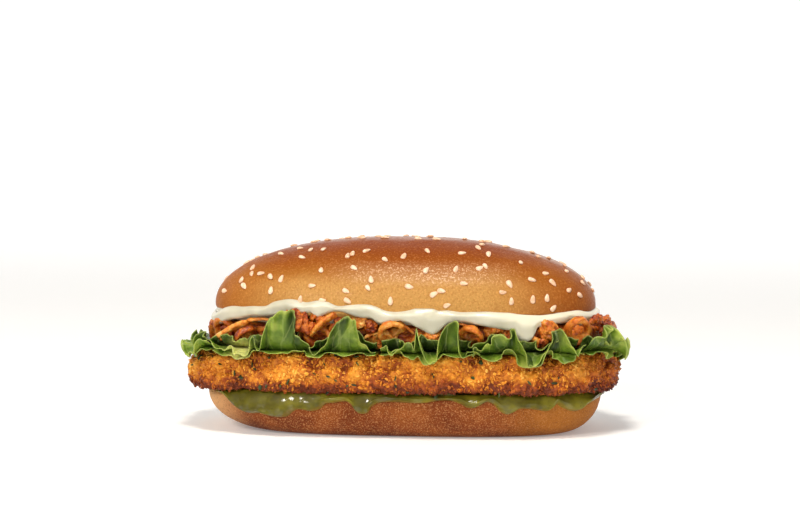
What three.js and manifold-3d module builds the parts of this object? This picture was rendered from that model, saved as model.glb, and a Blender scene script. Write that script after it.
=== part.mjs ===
// A long chicken burger: a sesame bun in two halves round a crumbed chicken fillet,
// with green sauce under the fillet and lettuce, fried onions and white sauce over it.
// Millimetres, +Z up. The origin is the middle of the flat underside, X runs along the bun
// and the front faces -Y.
import * as THREE from "three";
import { mergeVertices } from "three/addons/utils/BufferGeometryUtils.js";
import Module from "manifold-3d";

const wasm = await Module();
wasm.setup();

// Driving sizes
const bunLength = 165;
const bunWidth = 80;
const burgerHeight = 81.4;
const heelHeight = 18.1;
const filletLength = 182.4;
const filletWidth = 87;
const filletThickness = 16;
const gap = 0.35; // clear space between pieces that touch

// Levels of the layers, from the flat underside up
const sauceTop = heelHeight + 1;
const filletBottom = sauceTop + 0.6;
const filletTop = filletBottom + filletThickness;
const leafLevel = filletTop + 0.75;
const onionBottom = leafLevel + 0.7;
const onionTop = onionBottom + 9.85;
const crownUnderside = onionTop + 3.4;
const crownWaist = crownUnderside + 2.5; // height at which the top half is widest
const sauceUnder = onionTop + 0.6; // flat underside of the white sauce

// A number from 0 to 1 for a point of a whole-number grid, the same each time
function latticeValue(i, j, k) {
  let n = Math.imul(i, 73856093) ^ Math.imul(j, 19349663) ^ Math.imul(k, 83492791);
  n = Math.imul(n ^ (n >>> 13), 1274126177);
  return ((n ^ (n >>> 16)) >>> 0) / 4294967295;
}

// Smooth unevenness from -1 to 1, with lumps about one unit across
function lumps(x, y, z) {
  const [i, j, k] = [Math.floor(x), Math.floor(y), Math.floor(z)];
  const ease = (t) => t * t * (3 - 2 * t);
  const [u, v, w] = [ease(x - i), ease(y - j), ease(z - k)];
  let sum = 0;
  for (let a = 0; a < 2; a++)
    for (let b = 0; b < 2; b++)
      for (let c = 0; c < 2; c++) {
        const weight = (a ? u : 1 - u) * (b ? v : 1 - v) * (c ? w : 1 - w);
        sum += weight * latticeValue(i + a, j + b, k + c);
      }
  return sum * 2 - 1;
}

// Random numbers from 0 to 1 from a seed
function dice(seed) {
  let state = seed;
  return () => {
    state = (Math.imul(state, 1664525) + 1013904223) >>> 0;
    return state / 4294967296;
  };
}

const bell = (x, middle, width) => Math.exp(-(((x - middle) / width) ** 2));
const plateau = (x, middle, width) => Math.exp(-(((x - middle) / width) ** 4));

// A smooth curve through knots of [place, height]
function curveThrough(x, knots) {
  const last = knots.length - 2;
  const i = Math.min(last, Math.max(0, knots.findIndex(([place]) => place > x) - 1));
  const step = knots[i + 1][0] - knots[i][0];
  const slope = (k) => {
    if (k === 0 || k > last) return 0;
    return (knots[k + 1][1] - knots[k - 1][1]) / (knots[k + 1][0] - knots[k - 1][0]);
  };
  const t = Math.min(1, Math.max(0, (x - knots[i][0]) / step));
  const ends = (1 + 2 * t) * (1 - t) ** 2 * knots[i][1] + t * t * (3 - 2 * t) * knots[i + 1][1];
  return ends + step * (t * (1 - t) ** 2 * slope(i) - t * t * (1 - t) * slope(i + 1));
}

// An oval seen from above, from a rounded rectangle's formula, with even steps of arc:
// share 0 is the +X end, and shares grow anticlockwise
class Oval {
  constructor(length, width, power, middleX = 0, ends = [1, 1]) {
    // ends: how much more the +X and the -X end come in than the sides for the same inset
    Object.assign(this, { a: length / 2, b: width / 2, power, middleX, ends });
    const steps = 720;
    this.arc = [0];
    let last = this.point(0);
    for (let i = 1; i <= steps; i++) {
      const next = this.point((i / steps) * 2 * Math.PI);
      this.arc.push(this.arc[i - 1] + next.distanceTo(last));
      last = next;
    }
  }
  point(angle, inset = 0, shrink = 1) {
    const [c, s] = [Math.cos(angle), Math.sin(angle)];
    const r = (Math.abs(c) ** this.power + Math.abs(s) ** this.power) ** (-1 / this.power);
    const x = this.middleX + (this.a - inset * this.ends[c > 0 ? 0 : 1]) * shrink * c * r;
    return new THREE.Vector2(x, (this.b - inset) * shrink * s * r);
  }
  angle(share) {
    const steps = this.arc.length - 1;
    const want = (share - Math.floor(share)) * this.arc[steps];
    let low = 0;
    while (low < steps - 1 && this.arc[low + 1] < want) low++;
    const part = (want - this.arc[low]) / (this.arc[low + 1] - this.arc[low]);
    return ((low + part) / steps) * 2 * Math.PI;
  }
  at(share, inset = 0, shrink = 1) {
    return this.point(this.angle(share), inset, shrink);
  }
  outward(share) {
    const step = 0.002;
    const along = this.at(share + step).sub(this.at(share - step)).normalize();
    return new THREE.Vector2(along.y, -along.x);
  }
}

// A closed form made from a sphere: place(share, row) gives each point,
// share from 0 to 1 round it and row from 0 at the top pole to rows at the bottom one
function moulded(around, rows, place) {
  const geometry = new THREE.SphereGeometry(1, around, rows).rotateX(Math.PI / 2);
  const { position, uv } = geometry.attributes;
  for (let i = 0; i < position.count; i++) {
    const row = Math.round((1 - uv.getY(i)) * rows);
    const share = row === 0 || row === rows ? 0 : uv.getX(i) % 1;
    position.setXYZ(i, ...place(share, row));
  }
  return geometry;
}

function solid(geometry) {
  const bare = geometry.clone();
  bare.deleteAttribute("normal");
  bare.deleteAttribute("uv");
  const merged = mergeVertices(bare, 1e-4);
  const vertProperties = new Float32Array(merged.attributes.position.array);
  const triVerts = new Uint32Array(merged.index.array);
  return new wasm.Manifold(new wasm.Mesh({ numProp: 3, vertProperties, triVerts }));
}

// The largest body of a solid, as a geometry: loose scraps are dropped
function geometryOf(shape) {
  const bodies = shape.decompose().sort((p, q) => q.volume() - p.volume());
  const mesh = bodies[0].getMesh();
  const geometry = new THREE.BufferGeometry();
  const points = new THREE.BufferAttribute(new Float32Array(mesh.vertProperties), 3);
  geometry.setAttribute("position", points);
  geometry.setIndex(new THREE.BufferAttribute(new Uint32Array(mesh.triVerts), 1));
  return geometry;
}

const crownOval = new Oval(bunLength - 2, bunWidth, 2.7, -0.8);
const heelOval = new Oval(bunLength + 3, bunWidth + 2, 3, -0.6, [1.35, 2.2]);
const filletOval = new Oval(filletLength, filletWidth, 2.9, -1);
const onionOval = new Oval(bunLength + 7, bunWidth - 4.4, 2.7, 1.5);
const leafOval = new Oval(filletLength - 6, bunWidth + 0.8, 2.9, -0.5);

// Bottom half: a shallow tub with a flat underside and a rounded lower edge
const heelEdge = 16; // height of the rounding
const heelRound = 0.75; // how far the sides come in for each millimetre of that height
function heelInset(z) {
  const up = Math.min(1, Math.max(0, z / heelEdge));
  return heelEdge * heelRound * (1 - Math.sqrt(1 - (1 - up) ** 2));
}

function heel(grow = 0) {
  const rows = 8;
  return moulded(38, rows, (share, row) => {
    if (row === 0) return [heelOval.middleX, 0, heelHeight + grow];
    if (row === rows) return [heelOval.middleX, 0, -grow];
    const turn = Math.PI / 2;
    let inset = 0;
    let z = heelHeight;
    if (row === 1) inset = 1.8;
    else if (row === 2) z = heelHeight - 2.2;
    else {
      const part = (row - 3) / (rows - 4);
      z = Math.min(heelHeight - 3, heelEdge * (1 - Math.sin(part * turn)));
      inset = heelInset(z);
    }
    const p = heelOval.at(share, inset - grow);
    const wave = 0.5 * lumps(p.x / 22, p.y / 22, 3.7) * Math.min(1, z / 4);
    const up = row === 1 ? grow : row === rows - 1 ? -grow : 0;
    const out = heelOval.outward(share);
    return [p.x + out.x * wave, p.y + out.y * wave, z + up];
  });
}

// Top half: a long low dome with a rounded lower edge and a flat underside
const crownRows = 11;
function crownPoint(share, down, grow = 0) {
  const waist = 0.76; // share of the way down at which the dome is widest
  const rise = burgerHeight - crownWaist;
  let reach = 1;
  let inset = 0;
  let z = crownWaist;
  if (down <= waist) {
    const turn = (down / waist) * (Math.PI / 2);
    reach = Math.sin(turn);
    z += rise * (1 - reach ** 2.15) ** (1 / 2.15);
  } else {
    const turn = ((down - waist) / (0.95 - waist)) * (Math.PI / 2);
    inset = 3.4 * (1 - Math.cos(Math.min(turn, Math.PI / 2)));
    z -= (crownWaist - crownUnderside) * Math.sin(Math.min(turn, Math.PI / 2));
  }
  const p = crownOval.at(share, inset - grow, reach);
  const wave = lumps(p.x / 26, p.y / 26, z / 26 + 9.1);
  const up = down < waist ? Math.cos((down / waist) * (Math.PI / 2)) : -1;
  return [
    p.x * (1 + (0.5 * wave) / crownOval.a),
    p.y * (1 + (0.5 * wave) / crownOval.b),
    z + 0.5 * wave * Math.max(0, up) + grow * (down > 0.94 ? -1 : Math.max(0, up)),
  ];
}

function crown(grow = 0) {
  return moulded(42, crownRows, (share, row) => {
    if (row === 0) return crownPoint(0, 0, grow);
    if (row === crownRows) return [crownOval.middleX, 0, crownUnderside - grow];
    return crownPoint(share, row / crownRows, grow);
  });
}

// Sesame seeds: a teardrop of six sides, laid flat on the crust
const seed = { length: 3.7, width: 2.4, thickness: 1.5, fattest: -0.22, count: 85, apart: 5.2 };
function seedGeometry() {
  const geometry = new THREE.SphereGeometry(1, 6, 2);
  const { position } = geometry.attributes;
  for (let i = 0; i < position.count; i++) {
    const level = Math.round(position.getY(i)); // 1 at the point, 0 round it, -1 at the blunt end
    const along = level || seed.fattest;
    const x = position.getX(i) * (seed.width / 2);
    position.setXYZ(i, x, along * (seed.length / 2), position.getZ(i) * (seed.thickness / 2));
  }
  return geometry;
}

// Even, seeded places over the crust: a throw is kept where it is clear of the others
function seedPlaces() {
  const roll = dice(20);
  const found = [];
  const lowest = 0.74;
  const clear = 2.2; // seeds stop this far above the white sauce
  const crowded = 26000; // the crust's area for each unit of share and down, at its largest
  for (let tries = 0; tries < 40000 && found.length < seed.count; tries++) {
    const share = roll();
    const down = 0.02 + roll() * lowest;
    const keep = roll();
    const spin = roll() * 2 * Math.PI;
    const here = new THREE.Vector3(...crownPoint(share, down));
    if (here.z < whiteEdges(crownOval.at(share)).high + clear) continue;
    const step = 0.004;
    const across = new THREE.Vector3(...crownPoint(share + step, down)).sub(here);
    const along = new THREE.Vector3(...crownPoint(share, down + step)).sub(here);
    const normal = along.clone().cross(across);
    if (keep * crowded > normal.length() / step ** 2) continue;
    const apart = found.length % 9 === 8 ? seed.apart * 0.72 : seed.apart;
    if (found.some((f) => f.here.distanceTo(here) < apart)) continue;
    found.push({ here, normal: normal.normalize(), across: across.normalize(), spin });
  }
  return found;
}

function crownWithSeeds() {
  const seeds = seedPlaces().map(({ here, normal, across, spin }) => {
    const side = across.clone().applyAxisAngle(normal, spin);
    const tip = normal.clone().cross(side);
    const turn = new THREE.Matrix4().makeBasis(side, tip, normal);
    return solid(seedGeometry().applyMatrix4(turn.setPosition(here)));
  });
  return wasm.Manifold.union([solid(crown()), ...seeds]);
}

// Crumbed fillet: a long slab with round sides and a craggy crust
const filletRows = 11;
function filletPoint(share, down) {
  const turn = down * Math.PI;
  const bulge = Math.sin(turn) ** 0.55;
  const level = Math.sign(Math.cos(turn)) * Math.abs(Math.cos(turn)) ** 0.62;
  const half = filletThickness / 2;
  const inset = half * 0.92 * (1 - bulge) + 1.2 * level; // it leans out towards the bottom
  const p = filletOval.at(share, inset, Math.min(1, Math.sin(turn) * 2.4));
  const coarse = lumps(p.x / 17, p.y / 17, level * 0.8 + 5);
  const fine = lumps(p.x / 8, p.y / 8, level * 2.4 + 11);
  const out = filletOval.outward(share);
  const push = (1.3 * coarse + 1.8 * fine) * bulge;
  const thin = 1 - (level > 0 ? 0.14 : 0) * (Math.abs(p.x) / filletOval.a) ** 4;
  const sway = bulge * (1.1 * lumps(p.x / 15, p.y / 15, 2.5) + 0.8 * fine);
  const z = filletBottom + half + half * thin * level + sway;
  const inside = Math.min(filletTop, Math.max(filletBottom, z));
  return [p.x + out.x * push, p.y + out.y * push, inside];
}

function fillet() {
  const poles = [filletTop - 0.4, filletBottom + 0.1];
  return moulded(84, filletRows, (share, row) => {
    if (row === 0) return [filletOval.middleX, 0, poles[0]];
    if (row === filletRows) return [filletOval.middleX, 0, poles[1]];
    return filletPoint(share, 0.07 + (0.86 * (row - 1)) / (filletRows - 2));
  });
}

// Green sauce: a sheet over the bottom half that runs down its side in drips.
// The sauces' edges are lists of [x, height] along the front, and level out towards the ends.
const levelFrom = 26; // distance from the middle plane within which they do
const greenLow = [
  [-84, 18.3], [-76.4, 18.1], [-73.4, 16.6], [-70.6, 14.7], [-67.1, 11.4], [-63.6, 9.5], [-58.9, 9.7],
  [-55.6, 9], [-51.7, 8.4], [-47.7, 9.2], [-44.5, 11.2], [-41.3, 12.2], [-36.2, 11.8], [-32.4, 12.8],
  [-29.8, 14.8], [-26, 15.5], [-21, 16.2], [-18.5, 15], [-14.7, 10.8], [-12.2, 11.3], [-7.2, 15.6],
  [-1.6, 16.2], [5.2, 16], [11.1, 15.8], [16.8, 16.7], [22.5, 16.9], [26.9, 15.5], [31.9, 14],
  [34.4, 15.1], [36.9, 16.3], [40.1, 15.4], [42.6, 12.8], [45.7, 11.2], [48.2, 12.1], [54.4, 13.4],
  [58.2, 12.8], [61.9, 12.4], [65, 15.5], [68.1, 13.4], [72.5, 11.5], [74.9, 11.9], [79.8, 15],
  [82.9, 16.1], [88, 16.6],
];
function greenEdge(p) {
  const place = p.y < 0 ? p.x : 1 - p.x * 0.93; // the back has its own drips
  const round = Math.min(1, Math.abs(p.y) / levelFrom);
  const level = heelHeight - 2.3;
  return level + (curveThrough(place, greenLow) - level) * round - 0.4 * lumps(p.x / 6, p.y / 6, 1.4);
}

function greenSauce() {
  const rows = 7;
  const thick = 1.4;
  const blob = moulded(76, rows, (share, row) => {
    if (row === 0) return [heelOval.middleX, 0, sauceTop];
    if (row === rows) return [heelOval.middleX, 0, heelHeight - 2];
    const rim = heelOval.at(share);
    const low = greenEdge(rim);
    const side = sauceTop - low;
    const steps = [
      null,
      { inset: 2.2, z: sauceTop },
      { inset: 0.2, z: sauceTop - 0.9 },
      { inset: heelInset(sauceTop - side * 0.5) - thick * 0.85, z: sauceTop - side * 0.5 },
      { inset: heelInset(low + 2) - thick * 1.25, z: Math.min(low + 2, sauceTop - 1.2) },
      { inset: heelInset(low + 0.3) - thick * 0.9, z: low + 0.3 },
      { inset: 4, z: Math.min(low + 1.5, heelHeight - 2.5) },
    ];
    const { inset, z } = steps[row];
    const p = heelOval.at(share, inset);
    return [p.x, p.y, z];
  });
  return solid(blob).subtract(solid(heel(gap)));
}

// White sauce: a layer under the top half that swells out below its edge and hangs in drips
const whiteHigh = [
  [-88, 47], [-80.6, 49.5], [-77.1, 51.7], [-73.9, 53], [-64.5, 54], [-55.7, 54.5], [-51.7, 56.5],
  [-46.5, 57.8], [-42.6, 57.6], [-38.1, 56.6], [-32.4, 57.4], [-28.6, 56.8], [-24.8, 55.4],
  [-18.5, 55.9], [-12.2, 56.2], [-8.5, 55.3], [-4.8, 53.8], [0.2, 53.5], [5.2, 54], [7.8, 54.7],
  [14.2, 54.9], [17.3, 53.9], [21.7, 54.2], [28.6, 53.3], [36.7, 53.6], [45.5, 53.2], [50.4, 52.3],
  [55.4, 51.8], [61.6, 51.9], [69, 52.8], [73.9, 53.2], [78.8, 51.8], [86, 52.6],
];
const whiteLow = [
  [-88, 45.2], [-80.6, 44.2], [-77.2, 45.6], [-73.2, 47.4], [-68.1, 48.7], [-62.5, 50.1], [-55.7, 50.3],
  [-49.1, 51.3], [-46.5, 52], [-41.3, 51.6], [-36.2, 52.3], [-33, 50.7], [-28.6, 52.5], [-24.1, 53.1],
  [-18.5, 51.4], [-15.4, 50.8], [-11, 50.3], [-8.2, 48.8], [-5.4, 48.4], [-1.7, 48.8], [1.5, 49.5],
  [4.7, 49], [7.2, 47.8], [10.4, 46.2], [14.2, 44.3], [16.7, 45], [20.5, 48.4], [26.7, 49.2],
  [30.5, 48.5], [34.3, 47.8], [41.8, 46.5], [45.5, 46.1], [48.1, 45.8], [52.5, 40.7], [56.1, 43.7],
  [59.8, 47], [64.1, 47.9], [67.8, 48.4], [70.3, 49.4], [76.4, 46.1], [80.1, 47], [82.7, 48.2],
  [86, 48],
];
const whiteEnds = [ // heights of both edges at the -X and the +X end
  { low: 44.8, high: 49.8 },
  { low: 47, high: 52 },
];
function whiteEdges(p) {
  const place = p.y < 0 ? p.x : -p.x * 0.94 - 3; // the back has its own drips
  const round = Math.min(1, Math.abs(p.y) / levelFrom);
  const level = (knots, end) => end + (curveThrough(place, knots) - end) * round;
  const end = whiteEnds[p.x < 0 ? 0 : 1];
  const low = level(whiteLow, end.low) - 0.3 * lumps(p.x / 5, p.y / 5, 6.2);
  const high = level(whiteHigh, end.high) + 0.3 * lumps(p.x / 6, p.y / 6, 2.9);
  return { low, high };
}

function whiteSauce(grow = 0) {
  const rows = 8;
  const thick = 2.6;
  return moulded(74, rows, (share, row) => {
    if (row === 0) return [crownOval.middleX, 0, crownUnderside + 2];
    if (row === rows) return [crownOval.middleX, 0, sauceUnder - grow];
    const { low, high } = whiteEdges(crownOval.at(share));
    const tall = high - low;
    const inward = Math.max(0, sauceUnder + 0.4 - low) * 0.08; // a long drip hangs further in
    const raised = Math.max(0, low - crownUnderside + 1); // a high edge has a longer slope under it
    const steps = [
      null,
      { inset: 6, z: crownUnderside + 2 },
      { inset: 1.2, z: high + grow },
      { inset: -1.2, z: high - 0.9 + grow },
      { inset: -1.9, z: high - tall * 0.5 },
      { inset: -1.2 + inward, z: low + 0.7 },
      { inset: 0.5 + inward, z: low - grow },
      { inset: thick + 0.6 + 0.3 * raised, z: Math.min(low + 2, sauceUnder) - grow },
    ];
    const side = row === 7 ? -grow : grow;
    const p = crownOval.at(share, steps[row].inset - side);
    return [p.x, p.y, steps[row].z];
  });
}

// Fried onions: a core with rings, bent strips and browned chunks fused round it
function onionCore() {
  const rows = 5;
  const middle = (onionBottom + onionTop) / 2;
  const half = (onionTop - onionBottom) / 2;
  return moulded(30, rows, (share, row) => {
    if (row === 0) return [onionOval.middleX, 0, onionTop];
    if (row === rows) return [onionOval.middleX, 0, onionBottom];
    const turn = (row / rows) * Math.PI;
    const level = Math.sign(Math.cos(turn)) * Math.abs(Math.cos(turn)) ** 0.5;
    const p = onionOval.at(share, 2.6 + 3 * (1 - Math.sin(turn)));
    const out = onionOval.outward(share);
    const push = lumps(p.x / 7, p.y / 7, row);
    return [p.x + out.x * push, p.y + out.y * push, middle + half * level * 0.97];
  });
}

function onionRing(radius, band) {
  return new THREE.TorusGeometry(radius, band / 2, 3, 8).scale(1, 1, 1.7);
}

function onionStrip(length, band, bend) {
  const strip = new THREE.BoxGeometry(length, band * 0.7, band * 1.3, 4, 1, 1);
  const { position } = strip.attributes;
  for (let i = 0; i < position.count; i++) {
    const turn = (position.getX(i) / length) * bend;
    const radius = length / bend + position.getY(i);
    const lift = radius * Math.cos(turn) - length / bend;
    position.setXYZ(i, radius * Math.sin(turn), lift, position.getZ(i) * (1 - 0.2 * turn));
  }
  return strip;
}

function onionChunk(size, key) {
  const chunk = new THREE.IcosahedronGeometry(1, 0);
  const { position } = chunk.attributes;
  for (let i = 0; i < position.count; i++) {
    const [x, y, z] = [position.getX(i), position.getY(i), position.getZ(i)];
    const swell = size * (1 + 0.25 * lumps(x * 3 + key, y * 3, z * 3));
    position.setXYZ(i, x * swell * 1.3, y * swell * 0.75, z * swell);
  }
  return chunk;
}

// Each place lies on the outline of the heap, in two rows, with the outward way as its own Z
function onionPlaces() {
  const roll = dice(7);
  const places = [];
  const rowOf = [
    { count: 15, z: onionBottom + 4.6, inset: 1 },
    { count: 12, z: onionTop - 2.4, inset: 1.6 },
  ];
  for (const [level, row] of rowOf.entries())
    for (let i = 0; i < row.count; i++) {
      const share = (i + 0.5 * level + 0.5 * (roll() - 0.5)) / row.count;
      const kind = ["ring", "strip", "ring", "chunk", "strip"][(i * 2 + level * 3) % 5];
      const spin = (roll() - 0.5) * 1.6;
      const tilt = (roll() - 0.5) * 1.1;
      const size = 0.85 + 0.35 * roll();
      const lift = (roll() - 0.5) * 1.6;
      places.push({ kind, share, spin, tilt, size, z: row.z + lift, inset: row.inset, key: i });
    }
  return places;
}

function onionPiece({ kind, share, spin, tilt, size, z, inset, key }) {
  const makers = {
    ring: () => onionRing(4.5 * size, 2.2).rotateX(0.3),
    strip: () => onionStrip(19 * size, 2.6, 1.1).rotateX(-Math.PI / 2),
    chunk: () => onionChunk(4 * size, key),
  };
  const p = onionOval.at(share, inset);
  const out = onionOval.outward(share);
  const outward = new THREE.Vector3(out.x, out.y, 0);
  const up = new THREE.Vector3(0, 0, 1);
  const frame = new THREE.Matrix4().makeBasis(up.clone().cross(outward), up, outward);
  const piece = makers[kind]().rotateZ(spin).rotateX(tilt);
  return piece.applyMatrix4(frame.setPosition(p.x, p.y, z));
}

function onions() {
  const pieces = onionPlaces().map((place) => solid(onionPiece(place)));
  const heap = wasm.Manifold.union([solid(onionCore()), ...pieces]);
  const slab = new THREE.BoxGeometry(260, 160, onionTop + 3 - onionBottom);
  const kept = solid(slab.translate(0, 0, (onionBottom + onionTop + 3) / 2));
  return heap.intersect(kept).subtract(solid(whiteSauce(gap)));
}

// Lettuce: six leaves side by side, flat under the onions and frilled where they stick out.
// Tall flaps stand up in front of the onions at these places along the front.
const leafThickness = 0.65;
const flatShare = 0.4; // the part of a leaf's reach that lies flat
const leafEnds = [-0.075, 0.095, 0.27, 0.405, 0.575, 0.735, 0.925]; // shares of the outline
const flaps = [
  { x: -51.5, width: 9, rise: 14.5 },
  { x: -21, width: 10.5, rise: 12 },
  { x: 10.1, width: 2.6, rise: 7 },
  { x: 22.4, width: 3.8, rise: 10.5 },
  { x: 43.5, width: 7.5, rise: 7 },
  { x: 67, width: 7, rise: 4.5 },
  { x: 85, width: 7, rise: 7 },
];
const lobes = [
  { x: -86, width: 6, fall: 3 },
  { x: -66.8, width: 6, fall: 2.6 },
  { x: 5.5, width: 3.5, fall: 1.4 },
  { x: 14.5, width: 4, fall: 3 },
  { x: 53.5, width: 5.5, fall: 3.8 },
  { x: 68.5, width: 2.5, fall: 2.4 },
];
function leafPoint(share, out, edge) {
  // share along the outline, out from 0 at the spine to 1 at the frilled edge,
  // edge from 0 to 1 with the distance from the leaf's own two sides
  const rim = leafOval.at(share);
  if (out <= flatShare) {
    const p = leafOval.at(share, 0, 0.1 + 0.9 * (out / flatShare));
    return [p.x, p.y, leafLevel];
  }
  const free = (out - flatShare) / (1 - flatShare);
  const side = rim.y < 0 ? 1 : -1; // the back has its own places
  const sum = (list, size) =>
    list.reduce((all, f) => all + f[size] * plateau(rim.x * side, f.x, f.width), 0);
  const round = Math.min(1, Math.abs(rim.y) / 30);
  const behind = rim.y > 0 && Math.abs(rim.x) > 70; // no flaps at the ends of the back
  const rise = behind ? 0 : sum(flaps, "rise") * round;
  const fall = sum(lobes, "fall") * round;
  const wave = (turns, key) => Math.sin(2 * Math.PI * (share * turns + key));
  const fold = wave(30, 0.2) + 0.6 * wave(19, 0.7);
  const droop = 0.22 * fall + 1.05 * (1 - round);
  const slope = 0.5 + edge * 0.75 * fold * (1 - 0.055 * rise) + 0.13 * rise - droop;
  const steep = Math.max(-0.9, Math.min(1.42, slope));
  const length = 8 + 0.8 * rise + 0.3 * fall + edge * 0.9 * wave(23, 0.9);
  const bend = steep * (0.4 + 0.6 * free);
  const far = length * free * Math.cos(bend);
  const lift = length * free * Math.sin(bend);
  const slide = (edge * free * (1.5 * wave(30, 0.45) + 0.9 * wave(19, 0.95))) / leafOval.arc[720];
  const p = leafOval.at(share + slide);
  const normal = leafOval.outward(share);
  return [p.x + normal.x * far, p.y + normal.y * far, leafLevel + lift];
}

// One leaf between two shares of the outline: a wavy sheet with both faces split alike
function leaf(from, to, thickness = leafThickness) {
  const side = 0.0022; // keeps neighbouring leaves apart
  const length = leafOval.arc[720];
  const across = Math.round(((to - from) * length) / 4.1);
  const rows = 5;
  const front = new THREE.PlaneGeometry(1, 1, across, rows);
  const { position, uv } = front.attributes;
  for (let i = 0; i < position.count; i++) {
    const part = uv.getX(i);
    const share = from + side + part * (to - from - 2 * side);
    const edge = Math.min(1, Math.min(part, 1 - part) * across * 0.34);
    const row = Math.round(uv.getY(i) * rows);
    const out = row === 0 ? 0 : flatShare + ((1 - flatShare) * (row - 1)) / (rows - 1);
    position.setXYZ(i, ...leafPoint(share, out, edge));
  }
  front.computeVertexNormals();
  const { normal } = front.attributes;
  const count = position.count;
  const points = new Float32Array(count * 6);
  for (let i = 0; i < count; i++)
    for (const [face, way] of [0.5, -0.5].entries())
      for (const [axis, letter] of ["X", "Y", "Z"].entries())
        points[(face * count + i) * 3 + axis] =
          position[`get${letter}`](i) + way * thickness * normal[`get${letter}`](i);
  const faces = [];
  const cells = front.index.array;
  for (let i = 0; i < cells.length; i += 3) {
    const [a, b, c] = [cells[i], cells[i + 1], cells[i + 2]];
    faces.push(a, b, c, a + count, c + count, b + count);
  }
  const wide = across + 1;
  const rim = [];
  for (let i = 0; i < across; i++) rim.push(i);
  for (let i = 0; i < rows; i++) rim.push(i * wide + across);
  for (let i = across; i > 0; i--) rim.push(rows * wide + i);
  for (let i = rows; i > 0; i--) rim.push(i * wide);
  for (const [i, a] of rim.entries()) {
    const b = rim[(i + 1) % rim.length];
    faces.push(a, b, b + count, a, b + count, a + count);
  }
  const geometry = new THREE.BufferGeometry();
  geometry.setAttribute("position", new THREE.BufferAttribute(points, 3));
  geometry.setIndex(faces);
  return geometry;
}

const finishes = {
  crust: { color: 0xc98235, roughness: 0.5 },
  toastedCrust: { color: 0xa0622f, roughness: 0.8 },
  crumb: { color: 0xc7802b, roughness: 0.8 },
  leafGreen: { color: 0x6e9a35, roughness: 0.45 },
  friedOnion: { color: 0xb0601f, roughness: 0.6 },
  whiteSauce: { color: 0xede2c6, roughness: 0.25 },
  greenSauce: { color: 0x807a2c, roughness: 0.2 },
};

function finish(name) {
  const material = new THREE.MeshStandardMaterial({ ...finishes[name], metalness: 0 });
  material.name = name;
  return material;
}

const burger = new THREE.Group();
function add(name, geometry, finishName) {
  const mesh = new THREE.Mesh(geometry, finish(finishName));
  mesh.name = name;
  burger.add(mesh);
}

add("bun_heel", heel(), "toastedCrust");
add("green_sauce", geometryOf(greenSauce()), "greenSauce");
add("chicken_fillet", fillet(), "crumb");
for (let i = 0; i + 1 < leafEnds.length; i++)
  add(`lettuce_leaf_${i + 1}`, leaf(leafEnds[i], leafEnds[i + 1]), "leafGreen");
add("fried_onions", geometryOf(onions()), "friedOnion");
add("white_sauce", geometryOf(solid(whiteSauce()).subtract(solid(crown(gap)))), "whiteSauce");
add("bun_crown", geometryOf(crownWithSeeds()), "crust");

export default burger;
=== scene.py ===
import math

import bmesh
import bpy
import numpy as np
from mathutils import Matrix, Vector


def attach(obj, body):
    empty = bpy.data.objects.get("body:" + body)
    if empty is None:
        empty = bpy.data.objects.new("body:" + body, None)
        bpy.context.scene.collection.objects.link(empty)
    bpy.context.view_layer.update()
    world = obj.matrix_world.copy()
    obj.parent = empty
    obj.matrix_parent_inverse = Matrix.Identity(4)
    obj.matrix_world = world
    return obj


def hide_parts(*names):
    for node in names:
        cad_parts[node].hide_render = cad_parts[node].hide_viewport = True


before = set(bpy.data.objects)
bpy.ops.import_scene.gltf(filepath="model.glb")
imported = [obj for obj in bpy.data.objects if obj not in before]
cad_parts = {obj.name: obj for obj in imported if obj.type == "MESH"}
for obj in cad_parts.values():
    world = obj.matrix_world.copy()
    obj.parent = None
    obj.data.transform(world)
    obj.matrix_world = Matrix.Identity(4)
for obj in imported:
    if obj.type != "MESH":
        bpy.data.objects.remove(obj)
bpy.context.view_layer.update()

# Looks of a long chicken burger: sesame bun, crumbed fillet, lettuce, fried onions and two sauces.
# Shapes are worked out in millimetres, in the frame's own axes, and made into metres last.
mm = 0.001
fullTurn = 2 * math.pi
quarterTurn = math.pi / 2


# Unevenness

def latticeValue(i, j, k):
    def whole(number):
        return np.asarray(number).astype(np.int64).astype(np.uint32)
    n = whole(i) * np.uint32(73856093) ^ whole(j) * np.uint32(19349663) ^ whole(k) * np.uint32(83492791)
    n = (n ^ (n >> np.uint32(13))) * np.uint32(1274126177)
    return (n ^ (n >> np.uint32(16))) / 4294967295


def lumps(x, y, z):  # smooth, from -1 to 1, lumps about one unit across
    x, y, z = np.broadcast_arrays(*(np.asarray(v, float) for v in (x, y, z)))
    i, j, k = np.floor(x), np.floor(y), np.floor(z)
    u, v, w = (t * t * (3 - 2 * t) for t in (x - i, y - j, z - k))
    total = 0
    for a in (0, 1):
        for b in (0, 1):
            for c in (0, 1):
                weight = (u if a else 1 - u) * (v if b else 1 - v) * (w if c else 1 - w)
                total = total + weight * latticeValue(i + a, j + b, k + c)
    return total * 2 - 1


def lumpsAt(points, size, shift=0):  # lumps of a size in space
    return lumps(*np.moveaxis(points / size + shift, -1, 0))


def swells(p, size, level):  # lumps of a size seen from above, which change with the level
    return lumps(p[..., 0] / size, p[..., 1] / size, level)


def grains(points, size):  # rounded grains: 1 on the top of each, falling to 0 between them
    scaled = points / size
    cell = np.floor(scaled)
    nearest = np.full(points.shape[:-1], 9.0)
    second = nearest.copy()
    for shift in np.ndindex(3, 3, 3):
        corner = cell + np.array(shift) - 1
        jitter = np.stack([latticeValue(*(np.moveaxis(corner, -1, 0) + key)) for key in (3, 31, 57)], -1)
        distance = np.linalg.norm(corner + jitter - scaled, axis=-1)
        second = np.minimum(second, np.maximum(distance, nearest))
        nearest = np.minimum(nearest, distance)
    return np.clip((second - nearest) * 1.6, 0, 1) ** 0.5


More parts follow.
